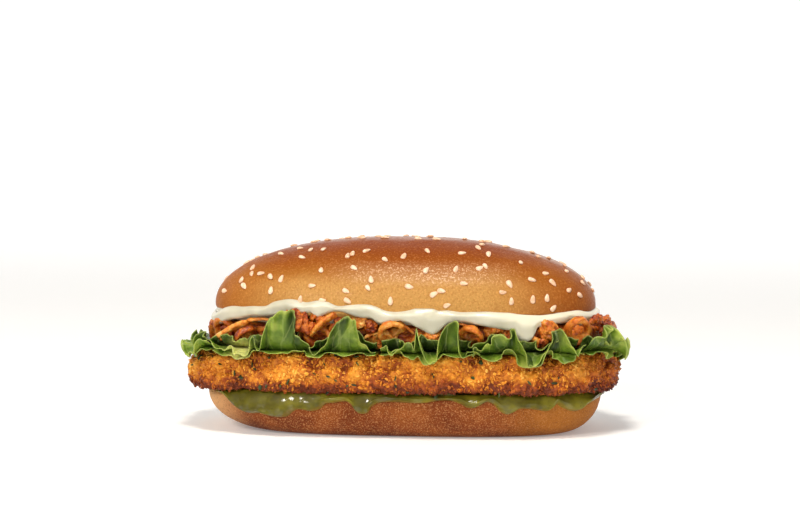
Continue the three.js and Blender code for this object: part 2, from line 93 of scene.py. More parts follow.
def dice(seed):  # an endless row of numbers from 0 to 1, the same for the same seed
    state = seed
    while True:
        state = (state * 1664525 + 1013904223) & 0xFFFFFFFF
        yield state / 4294967296


def rollTable(seed, rows):  # four rolls to a row
    roll = dice(seed)
    return np.array([next(roll) for _ in range(rows * 4)]).reshape(-1, 4)


def bell(x, middle, width, power):  # 1 in the middle, steeper at its sides for a higher power
    return np.exp(-np.abs((x - middle) / width) ** power)


def shares(count):  # evenly spaced from 0, short of 1
    return np.arange(count) / count


def norm(vectors):
    return vectors / np.linalg.norm(vectors, axis=-1, keepdims=True)


def curveThrough(x, knots):  # a smooth curve through pairs of place and height
    xs, ys = np.array(knots, float).T
    slopes = np.zeros_like(ys)
    slopes[1:-1] = (ys[2:] - ys[:-2]) / (xs[2:] - xs[:-2])
    i = np.clip(np.searchsorted(xs, x) - 1, 0, len(xs) - 2)
    step = xs[i + 1] - xs[i]
    t = np.clip((x - xs[i]) / step, 0, 1)
    return ((1 + 2 * t) * (1 - t)**2 * ys[i] + t * (1 - t)**2 * step * slopes[i]
            + t * t * (3 - 2 * t) * ys[i + 1] - t * t * (1 - t) * step * slopes[i + 1])


# Outlines seen from above: share 0 is the +X end, and shares grow anticlockwise

class Oval:
    def __init__(self, length, width, power, middleX, ends=(1, 1)):
        # ends: how much more the +X and the -X end come in than the sides for the same inset
        self.a, self.b, self.power, self.middleX, self.ends = length / 2, width / 2, power, middleX, ends
        self.angles = np.linspace(0, fullTurn, 721)
        steps = np.diff(self.point(self.angles), axis=0)
        self.arc = np.concatenate([[0], np.cumsum(np.hypot(steps[:, 0], steps[:, 1]))])
        self.length = self.arc[-1]

    def point(self, angle, inset=0, shrink=1):
        c, s = np.cos(angle), np.sin(angle)
        r = (np.abs(c) ** self.power + np.abs(s) ** self.power) ** (-1 / self.power)
        x = self.middleX + (self.a - inset * np.where(c > 0, *self.ends)) * shrink * c * r
        return np.stack([x, (self.b - inset) * shrink * s * r], -1)

    def at(self, share, inset=0, shrink=1):
        angle = np.interp((share % 1) * self.length, self.arc, self.angles)
        return self.point(angle, inset, shrink)

    def outward(self, share):
        step = 0.002
        along = norm(self.at(share + step) - self.at(share - step))
        return np.stack([along[..., 1], -along[..., 0]], -1)

    def frontShare(self, x):  # where the front of the outline passes that x
        shares = np.linspace(0.52, 0.98, 600)
        return float(np.interp(x, self.at(shares)[:, 0], shares))


def beside(p, reach=26):  # 1 along the sides of an outline, falling to 0 at its very ends
    return np.minimum(1, np.abs(p[..., 1]) / reach)


def pushed(p, out, push, z):  # points of an outline moved outwards, at their heights
    return np.stack([p[..., 0] + out[..., 0] * push, p[..., 1] + out[..., 1] * push,
                     np.broadcast_to(z, push.shape)], -1)


sizes = {
    "bunLength": 165, "bunWidth": 80, "burgerHeight": 81.4, "heelHeight": 18.1,
    "filletLength": 182.4, "filletWidth": 87, "filletThickness": 16,
}
# Heights of the layers, each from the one below
sauceTop = sizes["heelHeight"] + 1
filletBottom = sauceTop + 0.6
filletTop = filletBottom + sizes["filletThickness"]
leafLevel = filletTop + 0.75
onionBottom = leafLevel + 0.7
onionTop = onionBottom + 9.85
crownUnderside = onionTop + 3.4
crownWaist = crownUnderside + 2.5
sauceUnder = onionTop + 0.6
crownOval = Oval(sizes["bunLength"] - 2, sizes["bunWidth"], 2.7, -0.8)
heelOval = Oval(sizes["bunLength"] + 3, sizes["bunWidth"] + 2, 3, -0.6, (1.35, 2.2))
filletOval = Oval(sizes["filletLength"], sizes["filletWidth"], 2.9, -1)
onionOval = Oval(sizes["bunLength"] + 7, sizes["bunWidth"] - 4.4, 2.7, 1.5)
leafOval = Oval(sizes["filletLength"] - 6, sizes["bunWidth"] + 0.8, 2.9, -0.5)


# Meshes from rings and sheets of points

def addObject(name, data):
    made = bpy.data.objects.new(name, data)
    bpy.context.scene.collection.objects.link(made)
    return made


def makeObject(name, points, faces, finish, attributes=None, uv=None):
    mesh = bpy.data.meshes.new(name)
    mesh.from_pydata((np.asarray(points) * mm).tolist(), [], [list(f) for f in faces])
    mesh.shade_smooth()
    for key, values in (attributes or {}).items():
        layer = mesh.attributes.new(key, "FLOAT", "POINT")
        layer.data.foreach_set("value", np.asarray(values, np.float32).ravel())
    if uv is not None:
        corners = np.zeros(len(mesh.loops), np.int32)
        mesh.loops.foreach_get("vertex_index", corners)
        layer = mesh.uv_layers.new(name="UVMap")
        layer.data.foreach_set("uv", np.asarray(uv, np.float32)[corners].ravel())
    if finish:
        mesh.materials.append(finish)
    return addObject(name, mesh)


def ringFaces(rows, around):
    index = np.arange(rows * around).reshape(rows, around)
    after = np.roll(index, -1, axis=1)
    quads = np.stack([index[:-1], index[1:], after[1:], after[:-1]], -1).reshape(-1, 4)
    top, bottom = rows * around, rows * around + 1
    caps = [(top, a, b) for a, b in zip(index[0], after[0])]
    caps += [(bottom, b, a) for a, b in zip(index[-1], after[-1])]
    return quads.tolist() + caps


def makeRings(name, rings, finish, attributes=None):  # rings run from the top down
    rows, around, _ = rings.shape
    poles = [rings[0].mean(0), rings[-1].mean(0)]
    points = np.concatenate([rings.reshape(-1, 3), poles])
    full = {k: np.append(np.ravel(v), [np.mean(v[0]), np.mean(v[-1])]) for k, v in (attributes or {}).items()}
    return makeObject(name, points, ringFaces(rows, around), finish, full)


def ringNormals(rings):
    along = np.roll(rings, -1, 1) - np.roll(rings, 1, 1)
    return norm(np.cross(np.gradient(rings, axis=0), along) + 1e-9)


def smoothRows(rows, between):  # a curve through each column of the given rows
    stack = np.stack(rows)
    padded = np.concatenate([2 * stack[:1] - stack[1:2], stack, 2 * stack[-1:] - stack[-2:-1]])
    out = []
    for i in range(1, len(padded) - 2):
        p0, p1, p2, p3 = padded[i - 1:i + 3]
        for t in np.arange(between) / between:
            out.append(0.5 * (2 * p1 + (p2 - p0) * t + (2 * p0 - 5 * p1 + 4 * p2 - p3) * t**2
                              + (3 * p1 - p0 - 3 * p2 + p3) * t**3))
    return np.stack(out + [stack[-1]])


def profileRings(oval, share, profile, between):  # the profile gives insets and heights, from the top down
    flat = np.ones_like(share)
    rows = smoothRows([np.stack([inset * flat, z * flat], -1) for inset, z in profile], between)
    return np.stack([np.column_stack([oval.at(share, row[:, 0]), row[:, 1]]) for row in rows])


# Nodes: one value's socket, with arithmetic on it, and the trees that hold the nodes

def operator(operation, swapped=False):
    def apply(self, other=0.0):
        first, second = (other, self) if swapped else (self, other)
        return self.tree.node("ShaderNodeMath", {"operation": operation}, {0: first, 1: second})
    return apply


class Value:
    def __init__(self, tree, socket):
        self.tree, self.socket = tree, socket

    __add__, __mul__, __abs__ = operator("ADD"), operator("MULTIPLY"), operator("ABSOLUTE")
    __sub__, __rsub__ = operator("SUBTRACT"), operator("SUBTRACT", True)

    def output(self, name):
        return Value(self.tree, self.socket.node.outputs[name])


class Nodes:
    def __init__(self, tree):
        self.tree = tree

    def node(self, kind, settings=None, sockets=None, out=0):
        made = self.tree.nodes.new(kind)
        for key, setting in (settings or {}).items():
            setattr(made, key, setting)
        for key, value in (sockets or {}).items():
            if isinstance(value, Value):
                self.tree.links.new(value.socket, made.inputs[key])
            else:
                made.inputs[key].default_value = value
        return Value(self, made.outputs[out]) if len(made.outputs) else made


def sRgb(red, green, blue):  # a colour as a screen shows it, 0 to 255, made linear
    parts = [v / 255 for v in (red, green, blue)]
    return [v / 12.92 if v <= 0.04045 else ((v + 0.055) / 1.055) ** 2.4 for v in parts] + [1]


class Finish(Nodes):
    def __init__(self, name):
        self.material = bpy.data.materials.new(name)
        self.material.use_nodes = True
        super().__init__(self.material.node_tree)
        self.tree.nodes.clear()
        self.place = self.node("ShaderNodeTexCoord", out="Object")

    def noise(self, size, detail=2, rough=0.5):  # size in millimetres
        return self.node("ShaderNodeTexNoise", {}, {
            "Vector": self.place, "Scale": 1 / (size * mm), "Detail": detail, "Roughness": rough})

    def between(self, value, low, high, start=0.0, end=1.0):
        return self.node("ShaderNodeMapRange", {"interpolation_type": "SMOOTHSTEP"}, {
            "Value": value, "From Min": low, "From Max": high, "To Min": start, "To Max": end})

    def ramp(self, value, *stops):
        made = self.node("ShaderNodeValToRGB", {}, {"Fac": value})
        elements = made.socket.node.color_ramp.elements
        while len(elements) < len(stops):
            elements.new(1)
        for element, (place, colour) in zip(elements, stops):
            element.position, element.color = place, sRgb(*colour)
        return made

    def mix(self, factor, first, second, how="MIX"):
        first, second = (sRgb(*v) if isinstance(v, tuple) else v for v in (first, second))
        settings = {"data_type": "RGBA", "blend_type": how, "clamp_factor": True}
        return self.node("ShaderNodeMix", settings, {0: factor, 6: first, 7: second}, 2)

    def patches(self, size, low=0.3, high=0.7, detail=3, rough=0.5):  # noise cut between two levels
        return self.between(self.noise(size, detail, rough), low, high)

    def axis(self, letter):
        return self.node("ShaderNodeSeparateXYZ", {}, {0: self.place}, letter)

    def attribute(self, name):
        return self.node("ShaderNodeAttribute", {"attribute_name": name}, out="Fac")

    def bump(self, height, depth, strength=1.0):  # depth in millimetres
        return self.node("ShaderNodeBump", {}, {
            "Height": height, "Distance": depth * mm, "Strength": strength})

    def finish(self, **sockets):
        shader = self.node("ShaderNodeBsdfPrincipled", {}, {
            {"colour": "Base Color", "roughness": "Roughness", "normal": "Normal", "coat": "Coat Weight",
             "coatRoughness": "Coat Roughness", "soft": "Subsurface Weight", "softReach": "Subsurface Radius",
             "softScale": "Subsurface Scale", "shine": "Specular IOR Level", "glow": "Emission Color",
             "glowStrength": "Emission Strength",
             }[key]: value for key, value in sockets.items()})
        self.node("ShaderNodeOutputMaterial", {}, {"Surface": shader})
        return self.material


# Geometry Nodes

class Recipe(Nodes):  # stands shapes of a collection at points, as one mesh of one material
    def __init__(self, name, **inputs):
        inputs = {"shapes": ("Shapes", "Collection"), "material": ("Material", "Material"), **inputs}
        super().__init__(bpy.data.node_groups.new(name, "GeometryNodeTree"))
        sockets = self.tree.interface
        for way in ("INPUT", "OUTPUT"):
            sockets.new_socket("Geometry", in_out=way, socket_type="NodeSocketGeometry")
        self.sockets = {key: sockets.new_socket(label, in_out="INPUT", socket_type="NodeSocket" + kind)
                        for key, (label, kind) in inputs.items()}
        self.entry = self.tree.nodes.new("NodeGroupInput")

    def input(self, key=None):
        return Value(self, self.entry.outputs[self.sockets[key].name if key else "Geometry"])

    def stored(self, name, kind="FLOAT"):
        return self.node("GeometryNodeInputNamedAttribute", {"data_type": kind}, {"Name": name})

    def finish(self, points, index, rotation, scale):
        shapes = self.node("GeometryNodeCollectionInfo", {}, {
            "Collection": self.input("shapes"), "Separate Children": True, "Reset Children": True})
        placed = self.node("GeometryNodeInstanceOnPoints", {}, {
            "Points": points, "Instance": shapes, "Pick Instance": True, "Instance Index": index,
            "Rotation": rotation, "Scale": scale})
        real = self.node("GeometryNodeRealizeInstances", {}, {"Geometry": placed})
        coloured = self.node("GeometryNodeSetMaterial", {}, {
            "Geometry": real, "Material": self.input("material")})
        self.node("NodeGroupOutput", {}, {"Geometry": coloured})
        return self

    def run(self, name, source, **inputs):  # returns a new plain mesh object
        modifier = source.modifiers.new(self.tree.name, "NODES")
        modifier.node_group = self.tree
        for key, value in inputs.items():
            modifier[self.sockets[key].identifier] = value
        source.update_tag()
        bpy.context.view_layer.update()
        ready = source.evaluated_get(bpy.context.evaluated_depsgraph_get())
        mesh = bpy.data.meshes.new_from_object(ready)
        source.modifiers.remove(modifier)
        mesh.name = name
        return addObject(name, mesh)


# Places pieces of a collection at points that say which, how turned, how large and how dark
def placeRecipe():
    recipe = Recipe("placePieces")
    facing = recipe.node("FunctionNodeAlignRotationToVector", {"axis": "Z"}, {
        "Vector": recipe.stored("facing", "FLOAT_VECTOR")})
    turn = recipe.node("FunctionNodeEulerToRotation", {}, {"Euler": recipe.stored("turn", "FLOAT_VECTOR")})
    turned = recipe.node("FunctionNodeRotateRotation", {"rotation_space": "LOCAL"}, {
        "Rotation": facing, "Rotate By": turn})
    return recipe.finish(recipe.input(), recipe.stored("kind", "INT"), turned, recipe.stored("size"))


# Strews pieces of a collection over a surface, thicker where its "weight" is more
def strewRecipe():
    recipe = Recipe("strewPieces", density=("Pieces per square metre", "Float"), seed=("Seed", "Int"),
                    smallest=("Smallest", "Float"), largest=("Largest", "Float"), sink=("Sink", "Float"))
    points = recipe.node("GeometryNodeDistributePointsOnFaces", {"distribute_method": "RANDOM"}, {
        "Mesh": recipe.input(), "Density": recipe.stored("weight") * recipe.input("density"),
        "Seed": recipe.input("seed")})

    def random(kind, low, high, shift, out):
        return recipe.node("FunctionNodeRandomValue", {"data_type": kind}, {
            **low, **high, "Seed": recipe.input("seed") + shift}, out)

    spin = random("FLOAT_VECTOR", {0: (-fullTurn,) * 3}, {1: (fullTurn,) * 3}, 1, 0)
    scale = random("FLOAT", {2: recipe.input("smallest")}, {3: recipe.input("largest")}, 2, 1)
    tint = random("FLOAT", {2: 0.0}, {3: 1.0}, 3, 1)
    kind = random("INT", {4: 0}, {5: 40}, 4, 2)  # past the number of shapes it starts over
    tinted = recipe.node("GeometryNodeStoreNamedAttribute", {"data_type": "FLOAT", "domain": "POINT"}, {
        "Geometry": points, "Name": "tint", "Value": tint})
    down = recipe.node("ShaderNodeVectorMath", {"operation": "SCALE"}, {
        0: points.output("Normal"), "Scale": recipe.input("sink") * -1.0})
    sunk = recipe.node("GeometryNodeSetPosition", {}, {"Geometry": tinted, "Offset": down})
    return recipe.finish(sunk, kind, spin, scale)


placePieces = placeRecipe()
strewPieces = strewRecipe()


def shapeSet(name, pieces):  # a collection that only the recipes see
    group = bpy.data.collections.new(name)
    for piece in pieces:
        bpy.context.scene.collection.objects.unlink(piece)
        group.objects.link(piece)
    return group


def placeAt(name, places, shapes, material, **attributes):  # the attributes say how each piece stands there
    mesh = bpy.data.meshes.new("places")
    mesh.from_pydata((np.asarray(places) * mm).tolist(), [], [])
    for key, values in attributes.items():
        values = np.asarray(values)
        kind = "INT" if values.dtype.kind == "i" else "FLOAT_VECTOR" if values.ndim == 2 else "FLOAT"
        layer = mesh.attributes.new(key, kind, "POINT")
        layer.data.foreach_set("vector" if values.ndim == 2 else "value", values.astype(
            np.int32 if kind == "INT" else np.float32).ravel())
    cloud = addObject("places", mesh)
    piece = placePieces.run(name, cloud, shapes=shapes, material=material)
    bpy.data.objects.remove(cloud)
    return piece


def nugget(name, reach, roughness, key, squash, fine=1):  # an uneven lump, reach in millimetres
    mesh = bpy.data.meshes.new(name)
    form = bmesh.new()
    bmesh.ops.create_icosphere(form, subdivisions=fine, radius=1)
    for vertex in form.verts:
        x, y, z = vertex.co
        swell = 1 + roughness * float(lumps(x * 1.7 + key, y * 1.7, z * 1.7))
        vertex.co = Vector((x * squash[0], y * squash[1], z * squash[2])) * swell * reach * mm
    form.to_mesh(mesh)
    form.free()
    return addObject(name, mesh)


# Bottom half of the bun

heel = {"around": 480, "edge": 16, "roundness": 0.75, "shoulder": 2.2, "shoulderInset": 1.8,
        "top": [40, 20, 8, 4], "bottom": [14, 20, 26],  # the insets of the rings on its flat top and bottom
        "wave": 0.5, "relief": 0.14}


def heelInset(z):  # how far the rounded lower edge has come in at a height
    return heel["edge"] * heel["roundness"] * (1 - np.sqrt(1 - (1 - np.clip(z / heel["edge"], 0, 1)) ** 2))


def heelRings():
    height, shoulder = sizes["heelHeight"], heel["shoulder"]
    turn = np.linspace(0, quarterTurn, 60)
    side = (height - shoulder) * (1 - np.sin(turn[1:]))
    inset = np.concatenate([heel["top"], heel["shoulderInset"] * (1 - np.sin(turn[::11])), heelInset(side),
                            heel["bottom"]])
    z = np.concatenate([[height] * 4, height - shoulder * (1 - np.cos(turn[::11])), side, [0, 0, 0]])
    share = shares(heel["around"])
    out = heelOval.outward(share)
    rings = []
    for ins, level in zip(inset, z):
        p = heelOval.at(share, ins)
        wave = heel["wave"] * swells(p, 22, 3.7) + heel["relief"] * lumps(*(p.T / 4), level / 4)
        rings.append(pushed(p, out, wave * min(1, level / 4), level))
    return np.stack(rings)


def heelFinish():
    crust = Finish("toasted_crust")
    x, z = crust.axis("X"), crust.axis("Z")
    broad = crust.patches(13)
    bake = crust.ramp(broad * 0.6 + crust.between(z, 0.0, 0.016) * 0.4, (0.0, (96, 38, 10)),
                      (0.45, (122, 56, 18)), (1.0, (148, 80, 32)))
    # painted light: the left end of the heel is paler, as if lit by the lamps from the left and behind
    left = crust.between(x, -0.083, -0.060, 1, 0)
    right = crust.between(x + crust.noise(18, 2) * 0.02, 0.050, 0.078)
    bake = crust.mix(left, bake, (206, 156, 104))
    bake = crust.mix(right * 0.75, bake, (172, 108, 36))
    grain = crust.noise(0.55, 2, 0.6)
    flour = crust.between(grain, 0.5, 0.66)
    bake = crust.mix(flour * (0.48 - right * 0.2), bake, (218, 158, 100))
    scorch = crust.patches(0.8, 0.56, 0.7, 2)
    bake = crust.mix(scorch * 0.5, bake, (84, 36, 12))
    relief = grain + crust.noise(2.2, 2) * 0.5
    return crust.finish(colour=bake, roughness=0.68, normal=crust.bump(relief, 0.3, 0.9), shine=0.15)


def makeHeel():
    return makeRings("bottom_bun", heelRings(), heelFinish())


# Top half of the bun

crown = {"around": 480, "rows": 140, "waist": 0.76, "lowest": 0.95, "power": 2.15, "tuck": 3.4, "wave": 0.5}


def crownPoint(share, down):  # down runs from 0 on the top past the waist to the rim of the underside
    waist, power = crown["waist"], crown["power"]
    upper = down <= waist
    turn = np.minimum(down / waist, 1) * quarterTurn
    reach = np.where(upper, np.sin(turn), 1.0)
    dome = (sizes["burgerHeight"] - crownWaist) * np.maximum(0, 1 - reach**power) ** (1 / power)
    under = np.clip((down - waist) / (crown["lowest"] - waist), 0, 1) * quarterTurn
    z = crownWaist + np.where(upper, dome, (crownUnderside - crownWaist) * np.sin(under))
    p = crownOval.at(share, np.where(upper, 0, crown["tuck"] * (1 - np.cos(under))), reach)
    wave = crown["wave"] * swells(p, 26, z / 26 + 9.1)
    return np.stack([p[..., 0] * (1 + wave / crownOval.a), p[..., 1] * (1 + wave / crownOval.b),
                     z + wave * np.where(upper, np.maximum(0, np.cos(turn)), 0)], -1)


def crownFinish():
    crust = Finish("bun_crust")
    x, z = crust.axis("X"), crust.axis("Z")
    ends = crust.between(abs(x + 0.003), 0.034, 0.076)
    level = crust.between(z, 0.055, 0.081) + crust.noise(17, 3) * 0.24 - 0.12 + ends * 0.14
    bake = crust.ramp(level, (0.0, (182, 136, 74)), (0.32, (178, 130, 70)), (0.54, (155, 97, 38)),
                      (0.72, (144, 78, 24)), (1.0, (128, 56, 14)))
    right = crust.between(x, 0.030, 0.078)
    dark = crust.mix(right, (154, 86, 24), (138, 68, 16))
    bake = crust.mix(ends * crust.between(z, 0.062, 0.080, 1, 0) * 0.9, bake, dark)
    grain = crust.noise(0.8, 2, 0.7)
    fleck = crust.between(grain, 0.5, 0.66)
    bake = crust.mix(fleck * 0.6, bake, (112, 76, 30), "ADD")
    front = crust.between(crust.axis("Y"), -0.020, -0.028)
    # painted highlight: a pale speckled patch on the middle of the dome's front, where the overhead lamp's
    # highlight falls
    paintedHighlight = front * crust.between(z, 0.063, 0.068) * crust.between(z, 0.070, 0.0745, 1, 0)
    paintedHighlight = paintedHighlight * crust.between(abs(x - 0.010), 0.014, 0.048, 1, 0)
    bake = crust.mix(paintedHighlight * (fleck * 0.5 + 0.12), bake, (226, 190, 150))
    pore = crust.patches(0.9, 0.48, 0.7, 1)
    bake = crust.mix(pore * 0.26, bake, (126, 58, 16))
    crest = crust.between(crust.axis("Y") - abs(x) * 0.08 + crust.noise(4, 2) * 0.004, -0.012, -0.001)
    crest = crest * crust.between(crust.axis("Y"), 0.006, 0.030, 1, 0)
    # painted rim light: a faint pale tint along the top of the dome, where light from behind grazes it
    bake = crust.mix(crest * 0.1, bake, (222, 170, 112))
    glaze = crest * (fleck * 0.3 + 0.6) + fleck * front * 0.25
    rough = crust.between(crust.noise(3, 3), 0.3, 0.7, 0.42, 0.48) - fleck * 0.14
    relief = grain * 0.6 + crust.noise(1.6, 2) * 0.4
    return crust.finish(colour=bake, roughness=rough, normal=crust.bump(relief, 0.3, 0.6), shine=0.06,
                        coat=glaze, coatRoughness=0.3)


def makeCrown():
    downs = np.linspace(0.006, crown["lowest"], crown["rows"])
    rings = crownPoint(shares(crown["around"])[None, :], downs[:, None])
    soft = 0.16 * lumpsAt(rings, 9) + 0.08 * lumpsAt(rings, 3.5)
    rings = rings + ringNormals(rings) * soft[..., None] * np.clip((rings[..., 2:] - crownWaist) / 3, 0, 1)
    return makeRings("top_bun", rings, crownFinish())


# Sesame seeds

seeds = {"length": 3.5, "width": 2.05, "thickness": 1.25, "count": 158, "apart": 5.2, "tries": 60000,
         "crowded": 26000, "lowest": 0.74, "clear": 2.2, "lift": 0.28, "lean": 0.36,
         "smallest": 0.86, "spread": 0.22, "shapes": 3}
frontSeeds = [  # x, height and the turn seen from the front, in degrees
    (-75.5, 59.4, 0), (-67.4, 64.4, 80), (-66, 62.1, -45), (-63.3, 69.4, 60), (-63.2, 67, -70),
    (-58.7, 67.5, 10), (-54.4, 66.3, -45), (-53.5, 61, 90), (-52.1, 74.8, 0), (-49.4, 65.7, 65),
    (-44.1, 77.1, 5), (-41.8, 74, -5), (-40.4, 57.8, 90), (-39, 76.8, 45), (-35.7, 63.4, 5),
    (-33.4, 77.2, 30), (-32.7, 69.6, 90), (-31, 57.7, 0), (-22.3, 75, 80), (-21.3, 61.5, -25),
    (-20.5, 57.6, -30), (-20.4, 75.9, 70), (-18.7, 70.7, -20), (-18.5, 81, 0), (-14.7, 77, 10),
    (-12.1, 62.8, -50), (-11.1, 66.3, 100), (-8.8, 81.3, 0), (-6.1, 73.9, -30), (-2.5, 57.9, 90),
    (1.6, 75.3, 60), (5, 63.5, -10), (5.7, 81.1, 0), (11.1, 77.1, -35), (11.4, 70, 60), (13.5, 81, 0),
    (15.3, 60.8, 30), (18.3, 62, -10), (20.7, 56.2, 20), (23.8, 70.5, 70), (25.5, 76.4, 0), (27.6, 65, -10),
    (31.9, 78.1, -30), (33.1, 79, 20), (33.5, 70.8, 25), (35.8, 71.5, -50), (36.4, 75.8, -70),
    (42.8, 77.7, 0), (43.4, 61.4, 0), (46.2, 64.5, -55), (47.1, 57.9, 90), (50, 72.7, 90), (55.1, 66, -15),
    (55.6, 58.4, 90), (56.8, 73.8, 10), (60.5, 68.1, -5), (61.4, 58.8, 90), (63.5, 64.5, -40),
    (64.1, 54.6, 40), (68.8, 68.3, 20), (70.2, 61.5, 35), (74.5, 58.9, -35), (75.5, 63.2, -30)]


def frontSeedPlaces():  # where those lie on the crust, which way they face and how they turn on it
    grid = [v.ravel() for v in np.meshgrid(np.linspace(0.51, 0.99, 700), np.linspace(0.02, 0.75, 240))]
    here = crownPoint(*grid)
    picked = [int(np.argmin(np.hypot(here[:, 0] - x, here[:, 2] - z))) for x, z, _ in frontSeeds]
    share, down = (v[picked] for v in grid)
    here = here[picked]
    facing = norm(np.cross(crownPoint(share, down + 0.004) - here, crownPoint(share + 0.004, down) - here))
    turn = np.radians([row[2] for row in frontSeeds])
    lying = np.column_stack([np.cos(turn), 0 * turn, np.sin(turn)])  # as seen from the front
    lying[:, 1] = -np.sum(lying * facing, axis=1) / np.minimum(facing[:, 1], -0.25)
    fold = (facing + [0, 0, 1]) / (1 + facing[:, 2:])
    plainX, plainY = (np.eye(3)[i] - facing[:, i:i + 1] * fold for i in (0, 1))  # the axes before the turn
    return here, facing, np.arctan2(-np.sum(lying * plainX, axis=1), np.sum(lying * plainY, axis=1))


def seedPlaces():  # those in front, and strewn ones behind that keep apart
    rolls = rollTable(20, seeds["tries"])
    share, down = rolls[:, 0], 0.02 + rolls[:, 1] * seeds["lowest"]
    step = 0.004
    here = crownPoint(share, down)
    across = crownPoint(share + step, down) - here
    normal = np.cross(crownPoint(share, down + step) - here, across)
    area = np.linalg.norm(normal, axis=1)
    fits = (rolls[:, 2] * seeds["crowded"] <= area / step**2) & (
        here[:, 2] >= whiteEdges(crownOval.at(share))[1] + seeds["clear"])
    front, frontFacing, frontSpin = frontSeedPlaces()
    found = []
    for i in np.nonzero(fits & (here[:, 1] > -2))[0]:
        apart = seeds["apart"] * (0.72 if len(found) % 9 == 8 else 1)
        if np.min(np.linalg.norm(np.concatenate([front, here[found]]) - here[i], axis=1)) < apart:
            continue
        found.append(i)
        if len(found) + len(front) == seeds["count"]:
            break
    return (np.concatenate([front, here[found]]), np.concatenate([frontFacing, norm(normal[found])]),
            np.concatenate([frontSpin, rolls[found, 3] * fullTurn]))


def seedShape(name, key):  # the point lies along Y and the flat side faces Z
    around, rows = 12, 9
    turn = np.linspace(0.06, 0.94, rows) * math.pi
    along = np.cos(turn)
    girth = np.sin(turn)[:, None] ** 0.8 * (1 - 0.34 * along[:, None])
    angle = shares(around) * fullTurn
    bend = 0.12 * math.sin(key * 2.1)
    x = girth * np.cos(angle) * seeds["width"] / 2 + bend * (along**2)[:, None]
    y = np.repeat(along[:, None], around, 1) * seeds["length"] / 2
    return makeRings(name, np.stack([x, y, girth * np.sin(angle) * seeds["thickness"] / 2], -1), None)


def seedFinish():
    skin = Finish("sesame_seed")
    colour = skin.ramp(skin.noise(2.6, 2), (0.3, (218, 170, 132)), (0.5, (238, 198, 164)),
                       (0.7, (244, 214, 186)))
    relief = skin.bump(skin.noise(0.7, 2), 0.08, 0.5)
    return skin.finish(colour=colour, roughness=0.5, normal=relief, shine=0.4)


def makeSeeds():
    here, facing, spin = seedPlaces()
    rolls = rollTable(33, len(here))
    turn = np.column_stack([(rolls[:, :2] - 0.5) * seeds["lean"], spin])
    shapes = shapeSet("seedShapes", [seedShape(f"seedShape{i}", i) for i in range(seeds["shapes"])])
    return placeAt("sesame_seeds", here + facing * seeds["lift"], shapes, seedFinish(), facing=facing,
                   turn=turn, size=seeds["smallest"] + seeds["spread"] * rolls[:, 2],
                   kind=(rolls[:, 3] * seeds["shapes"]).astype(int))


# Crumbed fillet

fillet = {"around": 1000, "rows": 96, "span": 0.955, "lean": 1.2, "tip": 66}  # fuller below past the tip
strewn = {  # how many to a square metre, smallest, largest, seed, sink in millimetres
    "coarse_crumbs": (260000.0, 0.5, 1.0, 5, 0.1), "fine_crumbs": (330000.0, 0.3, 0.7, 6, 0.1),
    "herb_flecks": (11000.0, 0.7, 1.6, 9, -0.25)}


def filletRings():
    level = -np.sin(np.linspace(-0.5, 0.5, fillet["rows"]) * math.pi * fillet["span"])[:, None]
    turn = np.arccos(np.sign(level) * np.abs(level) ** (1 / 0.62))
    half = sizes["filletThickness"] / 2
    share = shares(fillet["around"])[None, :]
    far = np.clip((np.abs(filletOval.at(share)[..., 0]) - fillet["tip"]) / 20, 0, 1) * (level < 0)
    bulge = np.sin(turn) ** (0.55 - 0.3 * far)
    inset = half * 0.92 * (1 - bulge) + fillet["lean"] * level  # it leans out towards the bottom
    p = filletOval.at(share, inset, np.minimum(1, np.sin(turn) * 2.4))
    fine = swells(p, 8, level * 2.4 + 11)
    push = (1.3 * swells(p, 17, level * 0.8 + 5) + 1.8 * fine) * bulge
    thin = 1 - np.where(level > 0, 0.14, 0) * (np.abs(p[..., 0]) / filletOval.a) ** 4
    sway = bulge * (1.1 * swells(p, 15, 2.5) + 0.8 * fine)
    droop = bulge * np.clip(-level, 0, 1)  # the rim hangs a little over the sauce
    z = filletBottom + half + half * thin * level + sway - 1.2 * droop
    z = np.clip(z, filletBottom - droop, filletTop)
    rings = pushed(p, filletOval.outward(share), push, z)
    shown = np.clip((np.sin(turn) - 0.2) / 0.25, 0, 1)
    crag = 1.1 * lumpsAt(rings, 5.5) + 0.6 * lumpsAt(rings, 2.6, 7)
    crumb = 0.9 * grains(rings, 2.8) + 0.5 * grains(rings + 40, 1.4)
    depth = (crag + crumb - 0.9) * shown
    rings = rings + ringNormals(rings) * depth[..., None]
    rings[..., 2] = np.clip(rings[..., 2], filletBottom - 0.3 - droop, filletTop + 0.3)
    # the second value is the relief's height, with which the finish paints shade into the crevices and light
    # onto the raised crumbs
    return rings, np.clip(0.5 + 0.36 * depth, 0, 1), shown * np.ones_like(depth)


def filletFinish(name, loose=False):
    crumb = Finish(name)
    z = crumb.axis("Z")
    patch = crumb.patches(10)
    # painted shade: the fillet darkens towards its bottom, where it lies in shadow above the sauce
    low = crumb.between(z + crumb.noise(6, 2) * 0.006, 0.021, 0.030, 1, 0)
    if loose:
        level = crumb.attribute("tint") * 0.46 + patch * 0.34 + 0.26
    else:
        # painted shade and light: the relief's height makes the crevices darker and the raised crumbs lighter
        level = crumb.attribute("crag") * 0.6 + crumb.noise(1.6, 3, 0.6) * 0.46 + patch * 0.3 - 0.24
    level = level - low * 0.66
    fried = crumb.ramp(level, (0.0, (104, 40, 6)), (0.22, (156, 72, 12)), (0.48, (206, 123, 28)),
                       (0.75, (234, 160, 50)), (1.0, (248, 192, 88)))
    end = crumb.between(crumb.axis("X"), 0.066, 0.09)
    fried = crumb.mix(end * 0.7, fried, (190, 130, 84), "MULTIPLY")
    relief = crumb.noise(0.8, 3, 0.7)
    return crumb.finish(colour=fried, roughness=0.5, normal=crumb.bump(relief, 0.4, 0.8), shine=0.28)


